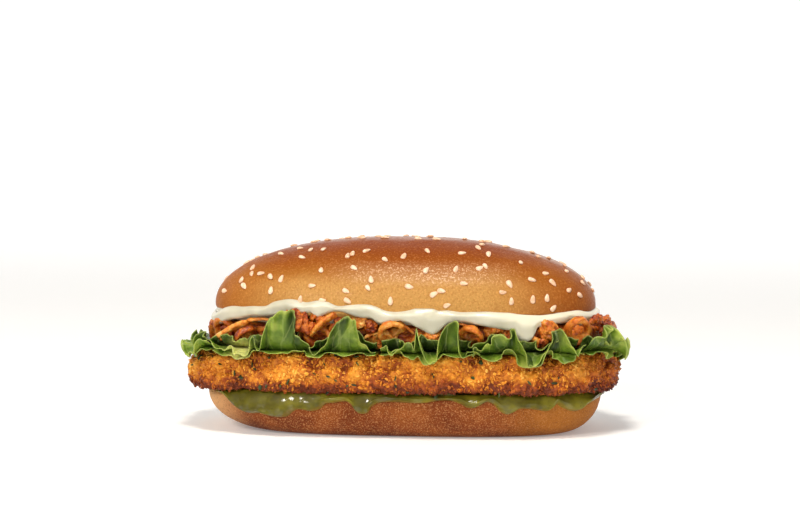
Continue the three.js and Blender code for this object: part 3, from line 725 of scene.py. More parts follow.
def herbFinish():
    leaf = Finish("herb_fleck")
    shade = leaf.attribute("tint")
    colour = leaf.ramp(shade, (0.0, (24, 36, 10)), (0.6, (48, 64, 20)), (1.0, (80, 92, 32)))
    return leaf.finish(colour=colour, roughness=0.5, normal=leaf.bump(leaf.noise(0.6, 2), 0.1))


def makeFillet():
    rings, crag, shown = filletRings()
    body = makeRings("crumbed_fillet", rings, filletFinish("fillet_crumb"), {"crag": crag, "weight": shown})
    crumbs = shapeSet("crumbShapes", [
        nugget(f"crumbShape{i}", 1.0, 0.5, i * 7.3, (1.25, 0.6 + 0.14 * (i % 3), 0.42)) for i in range(6)])
    flecks = shapeSet("herbShapes", [
        nugget(f"herbShape{i}", 1.0, 0.5, i * 3.1 + 50, (1, 0.42 + 0.15 * i, 0.3)) for i in range(4)])
    crumbFinish, fleckFinish = filletFinish("loose_crumb", True), herbFinish()
    loose = []
    for name, (density, smallest, largest, seed, sink) in strewn.items():
        shapes, finish = (flecks, fleckFinish) if name == "herb_flecks" else (crumbs, crumbFinish)
        loose.append(strewPieces.run(name, body, shapes=shapes, density=density, smallest=smallest,
                                     largest=largest, seed=seed, sink=sink * mm, material=finish))
    return body, *loose


# Green sauce over the bottom half

greenSauce = {"around": 1100, "thick": 1.4, "back": (-0.93, 1), "edge": [  # x and how far it runs down there
    (-84, -2.5), (-76.4, -2.3), (-73.4, -0.8), (-70.6, 1.1), (-67.1, 4.4), (-63.6, 6.3), (-58.9, 6.1),
    (-55.6, 6.8), (-51.7, 7.4), (-47.7, 6.6), (-44.5, 4.6), (-41.3, 3.6), (-36.2, 4), (-32.4, 3),
    (-29.8, 1), (-26, 0.3), (-21, -0.4), (-18.5, 0.8), (-16.6, 3.9), (-14.7, 5), (-12.2, 4.5), (-10.3, 1.9),
    (-7.2, 0.2), (-1.6, -0.4), (5.2, -0.2), (11.1, 0), (16.8, -0.9), (22.5, -1.1), (26.9, 0.3), (28.8, 1.5),
    (31.9, 1.8), (34.4, 0.7), (36.9, -0.5), (40.1, 0.4), (42.6, 3), (45.7, 4.6), (48.2, 3.7), (50.1, 2.4),
    (54.4, 2.4), (58.2, 3), (61.9, 3.4), (63.8, 1.8), (65, 0.3), (68.1, 2.4), (72.5, 4.3), (74.9, 3.9),
    (76.8, 2.2), (79.8, 0.8), (82.9, -0.3), (88, -0.8)]}


def mirrored(p, back):  # the x whose edge a place takes: its own in front, scaled and shifted at the back
    return np.where(p[..., 1] < 0, p[..., 0], p[..., 0] * back[0] + back[1])


def greenEdge(p):
    depth = curveThrough(mirrored(p, greenSauce["back"]), greenSauce["edge"]) * beside(p)
    return sizes["heelHeight"] - 2.3 - depth - 0.4 * swells(p, 6, 1.4)


def greenRings():
    thick = greenSauce["thick"]
    share = shares(greenSauce["around"])
    rim = heelOval.at(share)
    low = greenEdge(rim)
    side = sauceTop - low
    swell = 0.4 * swells(rim, 6, 8.2) + 0.06 * (side - 5)
    profile = [
        (30, sauceTop), (12, sauceTop), (2.2, sauceTop + 0.3), (0.1, sauceTop - 0.5),
        (heelInset(sauceTop - side * 0.45) - thick * 0.8 - swell, sauceTop - side * 0.45),
        (heelInset(low + 1.9) - thick * 1.15 - swell, np.minimum(low + 1.9, sauceTop - 1.2)),
        (heelInset(low + 0.3) - thick * 0.75, low + 0.3),
        (heelInset(low) + 0.5, low + 0.1),
        (heelInset(low + 3) + 0.6, low + 3), (0.7, sizes["heelHeight"] - 1.6), (4, sizes["heelHeight"] - 0.3),
        (30, sizes["heelHeight"] - 0.3),
    ]
    rings = profileRings(heelOval, share, profile, 7)
    return rings, np.clip((rings[..., 2] - low) / 5, 0, 1)


def greenFinish():
    sauce = Finish("green_sauce")
    rise = sauce.attribute("rise")  # 0 at the lower edge, where the sauce is thin
    body = sauce.ramp(sauce.patches(8), (0.0, (76, 70, 8)), (0.5, (98, 92, 14)), (1.0, (122, 114, 24)))
    thin = sauce.between(rise + sauce.noise(3, 2) * 0.3, 0.12, 0.4, 1, 0)
    colour = sauce.mix(thin * 0.45, body, (138, 98, 22))
    speck = sauce.patches(0.9, 0.66, 0.72, 1)
    colour = sauce.mix(speck * 0.5, colour, (66, 62, 14))
    relief = sauce.noise(6, 2) * 0.8 + sauce.noise(2, 2) * 0.2
    wet = sauce.patches(3, 0.48, 0.6, 2)
    return sauce.finish(colour=colour, roughness=0.5, normal=sauce.bump(relief, 0.7, 0.6), shine=0.2,
                        coat=wet * 0.8, coatRoughness=0.08, soft=0.2, softScale=0.003,
                        softReach=(1.0, 0.9, 0.2))


def makeGreenSauce():
    rings, rise = greenRings()
    return makeRings("green_sauce_layer", rings, greenFinish(), {"rise": rise})


# White sauce under the top half

whiteSauce = {"around": 1080, "back": (-0.94, -3), "upper": [  # x and height
    (-88, 47), (-80.6, 49.5), (-77.1, 51.7), (-73.9, 53), (-64.5, 54), (-55.7, 54.5), (-51.7, 56.5),
    (-46.5, 57.8), (-42.6, 57.6), (-38.1, 56.6), (-32.4, 57.4), (-28.6, 56.8), (-24.8, 55.4), (-18.5, 55.9),
    (-12.2, 56.2), (-8.5, 55.3), (-4.8, 53.8), (0.2, 53.5), (5.2, 54), (7.8, 54.7), (14.2, 54.9),
    (17.3, 53.9), (21.7, 54.2), (28.6, 53.3), (36.7, 53.6), (45.5, 53.2), (50.4, 52.3), (55.4, 51.8),
    (61.6, 51.9), (69, 52.8), (73.9, 53.2), (78.8, 51.8), (80.4, 52.2), (86, 52.6)],
    "lower": [
    (-88, 45.2), (-80.6, 44.2), (-77.2, 45.6), (-73.2, 47.4), (-68.1, 48.7), (-62.5, 50.1), (-55.7, 50.3),
    (-49.1, 51.3), (-46.5, 52), (-41.3, 51.6), (-36.2, 52.3), (-33, 50.7), (-28.6, 52.5), (-24.1, 53.1),
    (-18.5, 51.4), (-15.4, 50.8), (-11, 50.3), (-8.2, 48.8), (-5.4, 48.4), (-1.7, 48.8), (1.5, 49.5),
    (4.7, 49), (7.2, 47.8), (10.4, 46.2), (14.2, 44.3), (16.7, 45), (18.6, 46.6), (20.5, 48.4),
    (26.7, 49.2), (30.5, 48.5), (34.3, 47.8), (41.8, 46.5), (45.5, 46.1), (48.1, 45.8), (48.9, 43.7),
    (50.2, 41.5), (52.5, 40.7), (54.8, 41.4), (56.1, 43.7), (57.2, 46.3), (59.8, 47), (64.1, 47.9),
    (67.8, 48.4), (70.3, 49.4), (76.4, 46.1), (80.1, 47), (82.7, 48.2), (86, 48)]}


def whiteEdges(p):  # the heights of the sauce's lower and upper edge
    place, sides, left = mirrored(p, whiteSauce["back"]), beside(p), p[..., 0] < 0
    low = curveThrough(place, whiteSauce["lower"]) * sides + np.where(left, 44.8, 47) * (1 - sides)
    high = curveThrough(place, whiteSauce["upper"]) * sides + np.where(left, 49.8, 52) * (1 - sides)
    return low - 0.3 * swells(p, 5, 6.2), high + 0.3 * swells(p, 6, 2.9)


def whiteRings():
    share = shares(whiteSauce["around"])
    rim = crownOval.at(share)
    low, high = whiteEdges(rim)
    tall = high - low
    inward = np.maximum(0, sauceUnder + 0.4 - low) * 0.08
    raised = 0.3 * np.maximum(0, low - crownUnderside + 1)
    swell = 0.55 * swells(rim, 8, 12.4) + 0.1 * (tall - 5.5)
    top = crownUnderside + 0.2
    profile = [
        (34, top), (12, top), (3.4, top), (0.7, crownWaist - 1), (0.7, high - 0.8), (0.2, high + 0.1),
        (-0.9 - swell * 0.4, high - 0.5), (-1.9 - swell, high - tall * 0.34),
        (-1.7 - swell + inward, high - tall * 0.66), (-1.2 + inward - swell * 0.7, low + 0.6),
        (0.1 + inward - swell * 0.3, low), (2.2 + inward, low + 0.5),
        (3.4 + raised, np.minimum(low + 2.4, sauceUnder)), (6 + raised, sauceUnder), (12, sauceUnder),
        (34, sauceUnder),
    ]
    return profileRings(crownOval, share, profile, 6)


def whiteFinish():
    sauce = Finish("white_sauce")
    colour = sauce.ramp(sauce.noise(8, 2), (0.3, (194, 189, 167)), (0.7, (210, 206, 186)))
    # painted light: paler towards the right end, lifting the shade that the lamps from the left front leave
    # there
    colour = sauce.mix(sauce.between(sauce.axis("X"), 0.034, 0.052, 0, 0.8), colour, (232, 226, 202))
    relief = sauce.noise(6, 2) * 0.8 + sauce.noise(1.8, 2) * 0.2
    return sauce.finish(colour=colour, roughness=0.34, normal=sauce.bump(relief, 0.5, 0.5), shine=0.5,
                        coat=0.25, coatRoughness=0.12, soft=0.3, softScale=0.002,
                        softReach=(1.0, 0.8, 0.5))


def makeWhiteSauce():
    return makeRings("white_sauce_layer", whiteRings(), whiteFinish())


# Fried onions: a core, and rings, strips and chunks over it

onion = {"coreAround": 500, "coreRows": 44, "strewn": 40, "bandRound": 14, "variants": 4,
         "ringReach": 4.1, "ringThick": 2.1, "ringWide": 3.4, "stripLong": 17, "stripThick": 2,
         "stripWide": 3.3, "chunkReach": 3.9,
         "kinds": ["ring", "strip", "ring", "chunk", "strip"]}
onionHeroes = [  # those in front: kind, x, height, turn in its plane, lean, size, tint, reach out
    ("strip", -69.5, 44.2, -0.05, 0.1, 1.05, 1.0, 2.6), ("strip", -58.2, 48.9, -0.3, 0.2, 0.6, 0.75, 1.0),
    ("ring", -64.2, 42.4, 0.2, 1.0, 0.95, 0.1, 0.8), ("chunk", -40.3, 50.0, 1.5, 0.0, 1.42, 0.24, 2.6),
    ("chunk", -36.6, 46.0, 0.4, 0.0, 0.8, 0.4, 1.6), ("chunk", -50, 48.6, 0.3, 0.0, 0.9, 0.3, -0.8),
    ("chunk", -31.2, 50.2, 0.3, 0.0, 0.6, 0.3, 1.4), ("ring", -33, 50.2, 0.3, 0.6, 0.8, 0.5, -0.8),
    ("chunk", -25, 50.6, 1.2, 0.0, 0.7, 0.3, -0.8),
    ("strip", -20, 49.6, 0.1, 0.1, 0.7, 0.8, -0.2), ("strip", -30.2, 48.6, 0.62, 0.1, 0.95, 0.7, 2.2),
    ("chunk", -14.9, 48.8, 0.3, 0.0, 0.72, 0.95, 0.8), ("chunk", -11.2, 46.9, -0.3, 0.0, 0.7, 0.05, 0.6),
    ("strip", -9.9, 43.9, 0.2, 0.0, 0.5, 0.8, 0.6), ("ring", -2.5, 45.9, 0.3, 0.55, 1.05, 0.9, 1.0),
    ("strip", 3.9, 46.9, -0.7, 0.1, 0.5, 0.75, 0.8), ("chunk", 15.0, 42.3, 0.6, 0.1, 0.95, 0.75, 0.8),
    ("ring", 30.5, 44.4, -0.3, 0.6, 0.95, 0.65, 1.0), ("strip", 29.2, 47.5, -0.35, 0.1, 0.5, 0.6, 0.8),
    ("chunk", 40.6, 46.7, 0.2, 0.0, 0.7, 0.6, 0.4), ("chunk", 61.9, 45.1, -0.15, 0.1, 1.0, 0.6, 0.8),
    # painted shade: the almost black chunk at x 60.1 stands below the chunk at 61.9, where there is only
    # shadow
    ("chunk", 60.1, 40.8, 0.5, 0.1, 0.6, 0.05, 0.4), ("ring", 72.3, 45.8, 0.5, 0.15, 1.2, 0.6, 2.4),
    ("chunk", 81.5, 48.8, 0.5, 0.1, 0.8, 0.15, 0.4), ("chunk", 85.0, 45.4, 0.9, 0.1, 0.95, 0.1, 0.6),
]


def crisp(points, key):  # how far a fried skin stands up: ridges over fine bumps
    broad, fine = lumpsAt(points + key * 9, 2.6), lumpsAt(points + key * 5, 1.1)
    return 0.34 * broad + 0.3 * (1 - 2 * np.abs(fine)) + 0.14 * lumpsAt(points + key, 0.55)


def onionBand(name, points, across, thick, width, key, closed=False):
    # a flat band along a path of points; across gives the way its width runs
    around = onion["bandRound"]
    angle = -shares(around)[None, :, None] * fullTurn
    c, s = (np.sign(v) * np.abs(v) ** 0.75 for v in (np.cos(angle), np.sin(angle)))
    along = np.roll(points, -1, 0) - np.roll(points, 1, 0) if closed else np.gradient(points, axis=0)
    along, across = norm(along), norm(across)
    side = norm(np.cross(along, across))
    count = len(points)
    part = np.arange(count) / (count - 1)
    taper = np.ones(count) if closed else np.clip(6 * np.minimum(part, 1 - part) + 0.3, 0, 1) ** 0.6
    uneven = 1 + 0.22 * lumps(part * 7, key * 3.7, 0.5)
    band = points[:, None] + (taper * uneven)[:, None, None] * (
        across[:, None] * c * width / 2 + side[:, None] * s * thick / 2)
    skin = crisp(band.reshape(-1, 3), key).reshape(count, around)
    band = band + norm(band - points[:, None]) * skin[..., None]
    if not closed:
        return makeRings(name, band, None)
    index = np.arange(count * around).reshape(count, around)
    after = np.roll(index, -1, 1)
    quads = np.stack([index, np.roll(index, -1, 0), np.roll(after, -1, 0), after], -1).reshape(-1, 4)
    return makeObject(name, band.reshape(-1, 3), quads.tolist(), None)


def onionRing(name, key):
    angle = shares(48) * fullTurn
    reach = onion["ringReach"] * (1 + 0.12 * np.sin(2 * angle + key) + 0.06 * np.sin(3 * angle + 2 * key))
    points = np.stack([reach * np.cos(angle), reach * np.sin(angle) * 0.9, 0.6 * np.sin(2 * angle + key)], -1)
    lean = 0.4 + 0.15 * math.sin(key)
    across = np.stack([lean * np.cos(angle), lean * np.sin(angle), np.ones_like(angle)], -1)
    return onionBand(name, points, across, onion["ringThick"], onion["ringWide"], key, True)


def onionStrip(name, key):
    part = np.linspace(-0.5, 0.5, 40)
    bend = 0.8 + 0.5 * math.sin(key * 1.7)
    reach = onion["stripLong"] / bend
    points = np.stack([reach * np.sin(part * bend), reach * np.cos(part * bend) - reach,
                       1.0 * np.sin(part * 5 + key)], -1)
    twist = 1.1 * part + 0.6 * math.sin(key)
    across = np.stack([np.zeros_like(part), np.sin(twist), np.cos(twist)], -1)
    return onionBand(name, points, across, onion["stripThick"], onion["stripWide"], key)


def onionChunk(name, key):
    return nugget(name, onion["chunkReach"], 0.34, key * 3.3, (1.15, 0.9, 0.62), 5)


def roughen(piece, key):  # a crisp skin on a lump
    mesh = piece.data
    co = np.zeros(len(mesh.vertices) * 3)
    mesh.vertices.foreach_get("co", co)
    co = co.reshape(-1, 3) / mm
    layers = np.abs(lumpsAt(co * (0.6, 0.9, 1.6) + key * 4, 3.1))  # thin layers lie on one another
    co = co + norm(co) * (crisp(co, key) * 1.5 + 1.1 * layers ** 0.5 - 0.8)[:, None]
    mesh.vertices.foreach_set("co", (co * mm).ravel())
    mesh.shade_smooth()


def onionFinish(name, core=False):
    skin = Finish(name)
    own = skin.noise(5, 2) * 0.6 if core else skin.attribute("tint")
    patch = skin.patches(2.4, rough=0.6)
    level = own * 0.58 + patch * 0.5 - 0.06
    fried = skin.ramp(level, (0.0, (96, 26, 5)), (0.22, (150, 60, 12)), (0.48, (204, 108, 28)),
                      (0.75, (226, 146, 54)), (1.0, (240, 186, 104)))
    relief = skin.noise(0.9, 3, 0.65)
    return skin.finish(colour=fried, roughness=0.38, normal=skin.bump(relief, 0.4, 0.8), shine=0.35,
                       coat=0.12, coatRoughness=0.25, soft=0.25, softScale=0.002, softReach=(1.0, 0.4, 0.1))


def onionPlaces():  # kind, share, height, inset, turn in its plane, lean and size
    roll = dice(7)

    def about(span):
        return (next(roll) - 0.5) * span

    found = []
    for level, (count, height, inset) in enumerate([(15, onionBottom + 4.6, 1.6), (12, onionTop - 2.4, 2.2)]):
        for i in range(count):
            share = (i + 0.5 * level + about(0.5)) / count
            spin, tilt, size, lift = about(1.6), about(1.1), 0.85 + 0.35 * next(roll), about(1.6)
            kind = onion["kinds"][(i * 2 + level * 3) % 5]
            found.append((kind, share, height + lift, inset, spin, tilt, size))
    for i in range(onion["strewn"]):  # smaller ones fill in between
        share = (i + next(roll)) / onion["strewn"]
        end = abs(share - round(share)) < 0.06 or abs(share - 0.5) < 0.06
        height = onionBottom + 2 + (4.5 if end else 7.5) * next(roll)
        found.append((onion["kinds"][i % 5], share, height, 1.6 + 1.4 * next(roll), about(2.6), about(1.2),
                      0.6 + 0.3 * next(roll)))
    return found


def onionCore():
    level = -np.sin(np.linspace(-0.5, 0.5, onion["coreRows"])[:, None] * math.pi * 0.97)
    share = shares(onion["coreAround"])[None, :]
    turn = np.arccos(np.sign(level) * np.abs(level) ** 2)
    middle, half = (onionBottom + onionTop) / 2, (onionTop - onionBottom) / 2
    p = onionOval.at(share, 2.6 + 3 * (1 - np.sin(turn)), np.minimum(1, np.sin(turn) * 3))
    push = swells(p, 7, 3 * level) + 0.8 * swells(p, 3, 9 * level)
    rings = pushed(p, onionOval.outward(share), push, middle + half * level * 0.97)
    return makeRings("onion_core", rings, onionFinish("onion_core", True))


def onionShapes():  # a collection hands its children out in the order of their names
    shapes = []
    for maker in (onionRing, onionStrip, onionChunk):
        for i in range(onion["variants"]):
            shapes.append(maker(f"onionShape_{len(shapes):02d}", i + 1))
            if maker is onionChunk:
                roughen(shapes[-1], i)
    return shapeSet("onionShapes", shapes)


def makeOnions():
    core, shapes, finish = onionCore(), onionShapes(), onionFinish("fried_onion")
    roll = dice(41)
    listed = {"onion_pieces": [(*row, next(roll)) for row in onionPlaces()], "front_onion_pieces": [
        (kind, onionOval.frontShare(x), height, -out, spin, tilt, size, tint)
        for kind, x, height, spin, tilt, size, tint, out in onionHeroes]}
    pieces = []
    for name, rows in listed.items():
        kinds, share, height, inset, spin, tilt, size, tint = (np.array(column) for column in zip(*rows))
        first = np.array([["ring", "strip", "chunk"].index(kind) for kind in kinds]) * onion["variants"]
        variant = [int(next(roll) * onion["variants"]) for _ in rows]
        places = np.column_stack([onionOval.at(share, inset), height])
        facing = np.column_stack([onionOval.outward(share), 0 * share])
        turn = np.column_stack([tilt + np.where(kinds == "ring", 0.3, 0), 0 * share, spin])
        pieces.append(placeAt(name, places, shapes, finish, facing=facing, turn=turn, size=size,
                              kind=first + variant, tint=tint))
    return core, *pieces


# Lettuce: flat under the onions, frilled where it sticks out

lettuce = {"thickness": 0.6, "step": 0.5, "rows": 30,
           "ends": [-0.075, 0.095, 0.27, 0.405, 0.575, 0.735, 0.925],
           "flaps": [(-49.5, 7.5, 0.5, 0.0, 0.15, 0.75), (-21.5, 9.5, 0.55, 0.05, 0.16, -0.6),
                     (10.1, 2.4, 0.4, 0.1, -0.1, 0.4), (22.8, 3.6, 0.6, 0.05, 0.12, -0.5),
                     (43.5, 7.5, 0.4, 0.8, 0, 0.3), (67, 7, 0.2, 0.9, 0, -0.3),
                     (85, 7, 0.3, 0.8, 0.1, 0.3)],  # x, width, curl, folding, sway along the rim, twist
           "rises": [  # x and how much higher the rim stands there
    (-96, 0), (-64, 0), (-62, -1), (-60, 1), (-58.5, 1.6), (-56.2, -2), (-54.8, 2), (-53, 11), (-50.5, 14.5),
    (-47.5, 15), (-44.8, 13.5), (-42.6, 10.5), (-41.2, 2), (-38, 0), (-36, -3), (-31.5, -2), (-28.9, 1.6),
    (-26.4, 6.6), (-24, 10), (-20.8, 12), (-17, 10.6), (-15.2, 5), (-13.8, 2.8), (-11.6, 0.8), (-9.5, -3),
    (-6, -1), (-3, 0), (1, 0), (2.6, 2), (4.5, 1), (7.6, 1), (9.2, 4.5), (10.6, 7), (12, 4), (13.5, 0),
    (17.5, 0), (20, 6), (22, 9.8), (24.8, 10.5), (26, 7), (27, 0.5), (30, -2), (35, 0), (37.5, 3.2), (41, 5),
    (46, 5.2), (49.5, 4.6), (52, 0), (55, -3), (58, -1.5), (61, 0.5), (64, 3.6), (67, 4.6), (70, 2),
    (72, 0.6), (75, 1.5), (78, 5), (81.5, 7.6), (84, 6.8), (87, 2.5), (90, -1), (96, -4)],
           "lobes": [(-86, 6, 3), (-66.8, 6, 2.6), (-33.3, 3, 1), (5.5, 3.5, 1.4), (14.5, 4, 3), (36, 4, 1),
                     (53.5, 5.5, 3.8), (68.5, 2.5, 2.4)]}  # x, width, fall
layerKeys = ("inset", "up", "reach", "lean", "folds", "frill", "flaps", "lobes", "key")
leafLayers = [dict(zip(layerKeys, row)) for row in [  # flaps and lobes: how much the sheet follows them
    (0.0, 0.0, 8.0, 0.5, 0.8, 1.0, 1.0, 1.0, 0.0),
    (2.2, 0.9, 6.2, 0.85, 0.95, 1.0, 0.35, 0.0, 3.4),
    (-0.6, -0.15, 5.4, -0.05, 0.8, 0.35, 0.0, 0.9, 7.7),
]]


def leafSheet(share, edge, layer):  # its points, how free each row is and how much painted shade each point takes
    share, edge, key = share[None, :], edge[None, :], layer["key"]
    rim = leafOval.at(share[0])[None]
    ahead = np.where(rim[..., 1] < 0, 1, -1)
    x = rim[..., 0] * ahead
    sides = beside(rim, 30)

    def summed(knots, value, power=4, wider=1):  # a value of each knot, faded out past its width
        return np.sum([value(k) * bell(x, k[0], k[1] * wider, power or (8 if k[1] < 5 else 4))
                       for k in knots], axis=0)

    def uneven(size, shift):
        return lumps(place / size, key + shift, 0.5)

    flaps, lobes = lettuce["flaps"], lettuce["lobes"]
    behind = np.clip(rim[..., 1] / 10 + 0.5, 0, 1)
    front = 1 - behind * np.clip((np.abs(x) - 62) / 8, 0, 1)  # 0 at the back's ends
    rise = layer["flaps"] * curveThrough(x, lettuce["rises"]) * sides * front
    fall = layer["lobes"] * summed(lobes, lambda k: k[2], None) * sides
    curl, sway = (summed(flaps, lambda k: k[i], None) * sides for i in (2, 4))
    twist = summed(flaps, lambda k: k[5] * (x - k[0]) / k[1]) * sides
    calm = summed(flaps, lambda k: 1 - k[3], 4, 1.3) + summed(lobes, lambda k: 0.7)
    calm = np.clip(calm, 0, 1) * sides
    place = share * leafOval.length
    free = np.linspace(0, 1, lettuce["rows"])[:, None]
    broad = fullTurn * place / 14.5 + 1.7 * uneven(23, 1.1) + key
    small = fullTurn * place / 4.6 + 2.4 * uneven(9, 4.1) + key
    folding = edge * layer["folds"] * (1 + 0.35 * uneven(17, 2.2)) * (1 - 0.8 * calm)
    frill = edge * layer["frill"] * (1.0 + 0.5 * uneven(12, 6.3)) * (1 - 0.8 * calm)
    ragged = (0.9 * uneven(4.2, 3.3) + 0.5 * uneven(1.6, 8.3)) * (1 - 0.5 * calm)
    cusps = np.abs(np.sin(place / 3.4 + key + 1.4 * uneven(14, 5.5))) ** 0.5
    lobed = 1 - 0.5 * edge * (1 - cusps) * (fall < 1) * (layer["lean"] < 0)
    reach = (layer["reach"] + 0.8 * rise + 0.4 * fall) * lobed + ragged
    mean = layer["lean"] + 0.13 * rise - 0.22 * fall - 1.05 * (1 - sides) - 0.7 * (1 - front)
    angle = (np.clip(mean, -0.9, 1.35) * (0.45 + 0.95 * free)
             + folding * free ** 0.6 * np.sin(broad) * (1 - 0.035 * rise)
             + frill * free**2 * 0.9 * np.sin(small) + twist * layer["flaps"] * free
             - curl * layer["flaps"] * 2.2 * np.clip((free - 0.55) / 0.45, 0, 1)**2)
    part = reach / (lettuce["rows"] - 1)
    far, lift = ((np.cumsum(along, 0) - along[:1]) * part for along in (np.cos(angle), np.sin(angle)))
    slide = (folding * free**1.3 * (1.1 * np.sin(broad + 0.9) - 1.9 * np.sin(2 * broad))
             - frill * free**2.5 * 0.6 * np.sin(2 * small + 0.5)
             + sway * np.maximum(rise, 0) * 1.4 * free**1.5 * ahead) * np.clip(edge * 1.2, 0, 1)
    level = leafLevel + layer["up"]
    base = leafOval.at(share + slide / leafOval.length, layer["inset"])
    frilled = pushed(base, leafOval.outward(share), far, level + lift)
    inner = [0.1, 0.5, 0.85] if key == 0 else [0.85]  # how far out the flat rows under the onions lie
    flat = [np.column_stack([leafOval.at(share[0], layer["inset"], s), np.full(share.shape[1], level)])
            for s in inner]
    # painted shade: dark deep in the folds, darker on the inner sheet that stands behind, lighter on the
    # sheet that hangs down; the flat rows under the onions are fully shaded
    paintedShade = np.clip(0.5 - (far - np.mean(far, axis=1, keepdims=True)) * 0.22, 0, 1)
    paintedShade = (paintedShade + 0.3 * (layer["lean"] > 0.6)) * (0.35 if layer["lean"] < 0 else 1)
    leafShade = np.concatenate([np.ones((len(flat), share.shape[1])), paintedShade])
    return np.concatenate([np.stack(flat), frilled]), np.concatenate([np.array(inner) - 1, free[:, 0]]), leafShade


def makeLeaf(number, start, end, finish):  # three sheets, each closed at the back and round its rim
    gap = 0.0022
    part = np.linspace(0, 1, round((end - start) * leafOval.length / lettuce["step"]))
    share = start + gap + part * (end - start - 2 * gap)
    edge = np.minimum(1, np.minimum(part, 1 - part) * (end - start) * leafOval.length * 0.12)
    points, faces, grids, paintedShades = [], [], [], []
    made = 0
    for layer in leafLayers:
        sheet, free, leafShade = leafSheet(share, edge, layer)
        normal = norm(np.cross(np.gradient(sheet, axis=1), np.gradient(sheet, axis=0)) + 1e-9)
        thick = lettuce["thickness"] * np.interp(free, [0, 1], [1, 0.35])[:, None, None]
        rows, across = sheet.shape[:2]
        total = rows * across
        index = np.arange(total).reshape(rows, across) + made
        quads = np.stack([index[:-1, :-1], index[:-1, 1:], index[1:, 1:], index[1:, :-1]], -1).reshape(-1, 4)
        rim = np.concatenate([index[0, :-1], index[:-1, -1], index[-1, :0:-1], index[:0:-1, 0]])
        after = np.roll(rim, -1)
        faces += [quads, quads[:, ::-1] + total, np.stack([rim, rim + total, after + total, after], -1)]
        points += [(sheet + normal * side * thick / 2).reshape(-1, 3) for side in (1, -1)]
        grid = np.broadcast_arrays(share[None, :] * leafOval.length / 10 + layer["key"], free[:, None])
        grids += [np.stack(grid, -1).reshape(-1, 2)] * 2
        paintedShades += [leafShade.ravel()] * 2
        made += 2 * total
    return makeObject(f"lettuce_{number}", np.concatenate(points), np.concatenate(faces).tolist(), finish,
                      {"paintedShade": np.concatenate(paintedShades)}, np.concatenate(grids))


def leafFinish():
    leaf = Finish("lettuce")
    spot = leaf.node("ShaderNodeUVMap", {"uv_map": "UVMap"})
    free = leaf.node("ShaderNodeSeparateXYZ", {}, {0: spot}, "Y")
    drawn = leaf.node("ShaderNodeMapping", {"vector_type": "POINT"}, {"Vector": spot, "Scale": (1, 0.4, 1)})
    stray = leaf.node("ShaderNodeTexNoise", {}, {"Vector": spot, "Scale": 3.0}, "Color")
    veins = leaf.node("ShaderNodeTexVoronoi", {"feature": "DISTANCE_TO_EDGE"}, {
        "Vector": leaf.mix(0.12, drawn, stray), "Scale": 2.3})
    vein = leaf.between(veins, 0.0, 0.05, 1.0, 0.0)
    patch = leaf.patches(7)
    # painted shade, read from the leaf's attribute: it darkens the folds and the rows under the onions, here
    # and below
    paintedShade = leaf.between(leaf.attribute("paintedShade"), 0.25, 0.9)
    # painted shade and light: darker at the base of each sheet, where it runs in under the onions, lighter
    # out towards the frilled edges that face the lamps
    green = leaf.ramp(free * 0.42 + patch * 0.5 - paintedShade * 0.34 + 0.14, (0.05, (36, 52, 14)),
                      (0.35, (66, 90, 24)), (0.7, (102, 126, 36)), (1.0, (160, 174, 72)))
    green = leaf.mix(paintedShade * 0.5, green, (22, 32, 8))
    green = leaf.mix(vein * 0.25, green, (160, 172, 96))
    # the leaf's own paler margin, with painted rim light along the frilled edge
    marginAndRimLight = leaf.between(free + leaf.noise(2, 2) * 0.06, 0.93, 1.02)
    green = leaf.mix(marginAndRimLight * 0.45, green, (190, 202, 108))
    # painted light: a pale patch on the hanging lobe at the front left, lit as if it faced the lamps
    pale = leaf.between(abs(leaf.axis("X") + 0.0665), 0.001, 0.008, 1, 0)
    pale = pale * leaf.between(leaf.axis("Z"), 0.0385, 0.042, 1, 0)
    green = leaf.mix(pale * 0.8, green, (206, 204, 122))
    relief = leaf.between(veins, 0.0, 0.16) * 0.5 + leaf.noise(1.8, 3) * 0.7
    return leaf.finish(colour=green, roughness=0.40, normal=leaf.bump(relief, 0.5, 0.8), shine=0.3,
                       soft=0.15, softScale=0.002, softReach=(0.6, 1.0, 0.2))


# Stage, lights and camera

view = {"distance": 1000, "turn": 5.96, "rise": 6.53, "middle": 39.4, "aim": (-2.94, 0.0, 70.69),
        "lens": 104.6, "sensor": 36}
lamps = [  # name, place, what it faces, size, power, colour, in metres and watts
    ("overhead", (0.02, -0.40, 0.90), (0.02, 0, 0.06), 0.24, 6.6, (1.0, 0.95, 0.87)),
    ("front", (-0.42, -1.0, 0.62), (0, 0, 0.04), 0.24, 6.2, (1.0, 0.95, 0.88)),
    ("fill", (0.8, -1.0, 0.3), (0, 0, 0.03), 0.8, 1.6, (1.0, 0.97, 0.92)),
    ("leftEdge", (-0.9, 0.3, 0.35), (0, 0, 0.04), 0.5, 1.0, (1.0, 0.97, 0.94)),
    ("rightEdge", (0.9, 0.35, 0.4), (0, 0, 0.04), 0.5, 0.5, (1.0, 0.97, 0.94)),
]
sky = {"Color": (1, 0.97, 0.92, 1), "Strength": 0.34}


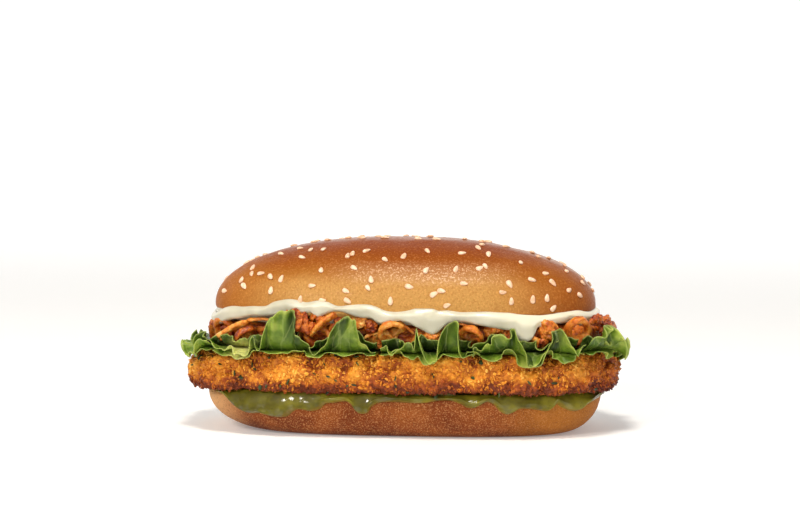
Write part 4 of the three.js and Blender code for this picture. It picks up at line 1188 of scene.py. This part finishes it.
def makeStage():
    reach, back, height = 2.4, 1.6, 1.8
    turn = np.linspace(0, math.pi / 2, 16)
    bend = 0.5
    depth = np.concatenate([[-reach, 0.3, 0.7], back - bend + bend * np.sin(turn), [back]]) / mm
    level = np.concatenate([[0, 0, 0], bend * (1 - np.cos(turn)), [height]]) / mm
    wide = reach / mm
    points = [(x, y, z) for y, z in zip(depth, level) for x in (-wide, wide)]
    faces = [(i, i + 1, i + 3, i + 2) for i in range(0, len(points) - 2, 2)]
    paper = Finish("pale_paper")
    lit = paper.between(paper.axis("Y"), 0.35, 1.3)  # the back of the paper has its own soft light
    glow = paper.mix(lit, [0.2, 0.2, 0.2, 1], [0.5, 0.5, 0.5, 1])
    material = paper.finish(colour=sRgb(236, 236, 236), roughness=0.9, glow=glow, glowStrength=1.0)
    makeObject("floor", points, faces, material)


def face(thing, place, target):
    thing.location = place
    thing.rotation_euler = (target - place).to_track_quat("-Z", "Y").to_euler()


def makeLights():
    for name, place, target, size, power, colour in lamps:
        light = bpy.data.lights.new(name, "AREA")
        light.shape, light.size, light.energy, light.color = "DISK", size, power, colour
        face(addObject(name, light), Vector(place), Vector(target))
    world = bpy.data.worlds.new("studio")
    bpy.context.scene.world = world
    world.use_nodes = True
    for key, value in sky.items():
        world.node_tree.nodes["Background"].inputs[key].default_value = value


def makeCamera():
    turn, rise, distance = math.radians(view["turn"]), math.radians(view["rise"]), view["distance"]
    away = distance * math.cos(rise)
    eye = Vector((away * math.sin(turn), -away * math.cos(turn), view["middle"] + distance * math.sin(rise)))
    camera = addObject("camera", bpy.data.cameras.new("camera"))
    camera.data.lens, camera.data.sensor_width = view["lens"], view["sensor"]
    face(camera, eye * mm, Vector(view["aim"]) * mm)
    bpy.context.scene.camera = camera


makeStage()
makeLights()
makeCamera()
bpy.context.scene.view_settings.view_transform = "Standard"
print("stage, lights and camera are set")


def dress(piece, slot, *nodes):
    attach(piece, "root")
    if nodes:
        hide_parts(*nodes)


dress(makeHeel(), "toasted_crust", "bun_heel")
print("bottom bun made")
dress(makeGreenSauce(), "green_sauce", "green_sauce")
print("green sauce made")
filletBody, coarseCrumbs, fineCrumbs, herbFlecks = makeFillet()
dress(filletBody, "crumb_coating", "chicken_fillet")
dress(coarseCrumbs, "crumb_coating")
dress(fineCrumbs, "crumb_coating")
dress(herbFlecks, "lettuce")
print("fillet made")
leafMaterial = leafFinish()
for number, (start, end) in enumerate(zip(lettuce["ends"], lettuce["ends"][1:]), 1):
    dress(makeLeaf(number, start, end, leafMaterial), "lettuce", f"lettuce_leaf_{number}")
print("lettuce made")
core, *onionPieces = makeOnions()
dress(core, "fried_onion", "fried_onions")
for pieces in onionPieces:
    dress(pieces, "fried_onion")
print("onions made")
dress(makeWhiteSauce(), "white_sauce", "white_sauce")
print("white sauce made")
dress(makeCrown(), "bun_crust", "bun_crown")
dress(makeSeeds(), "bun_crust")
print("top bun and seeds made")
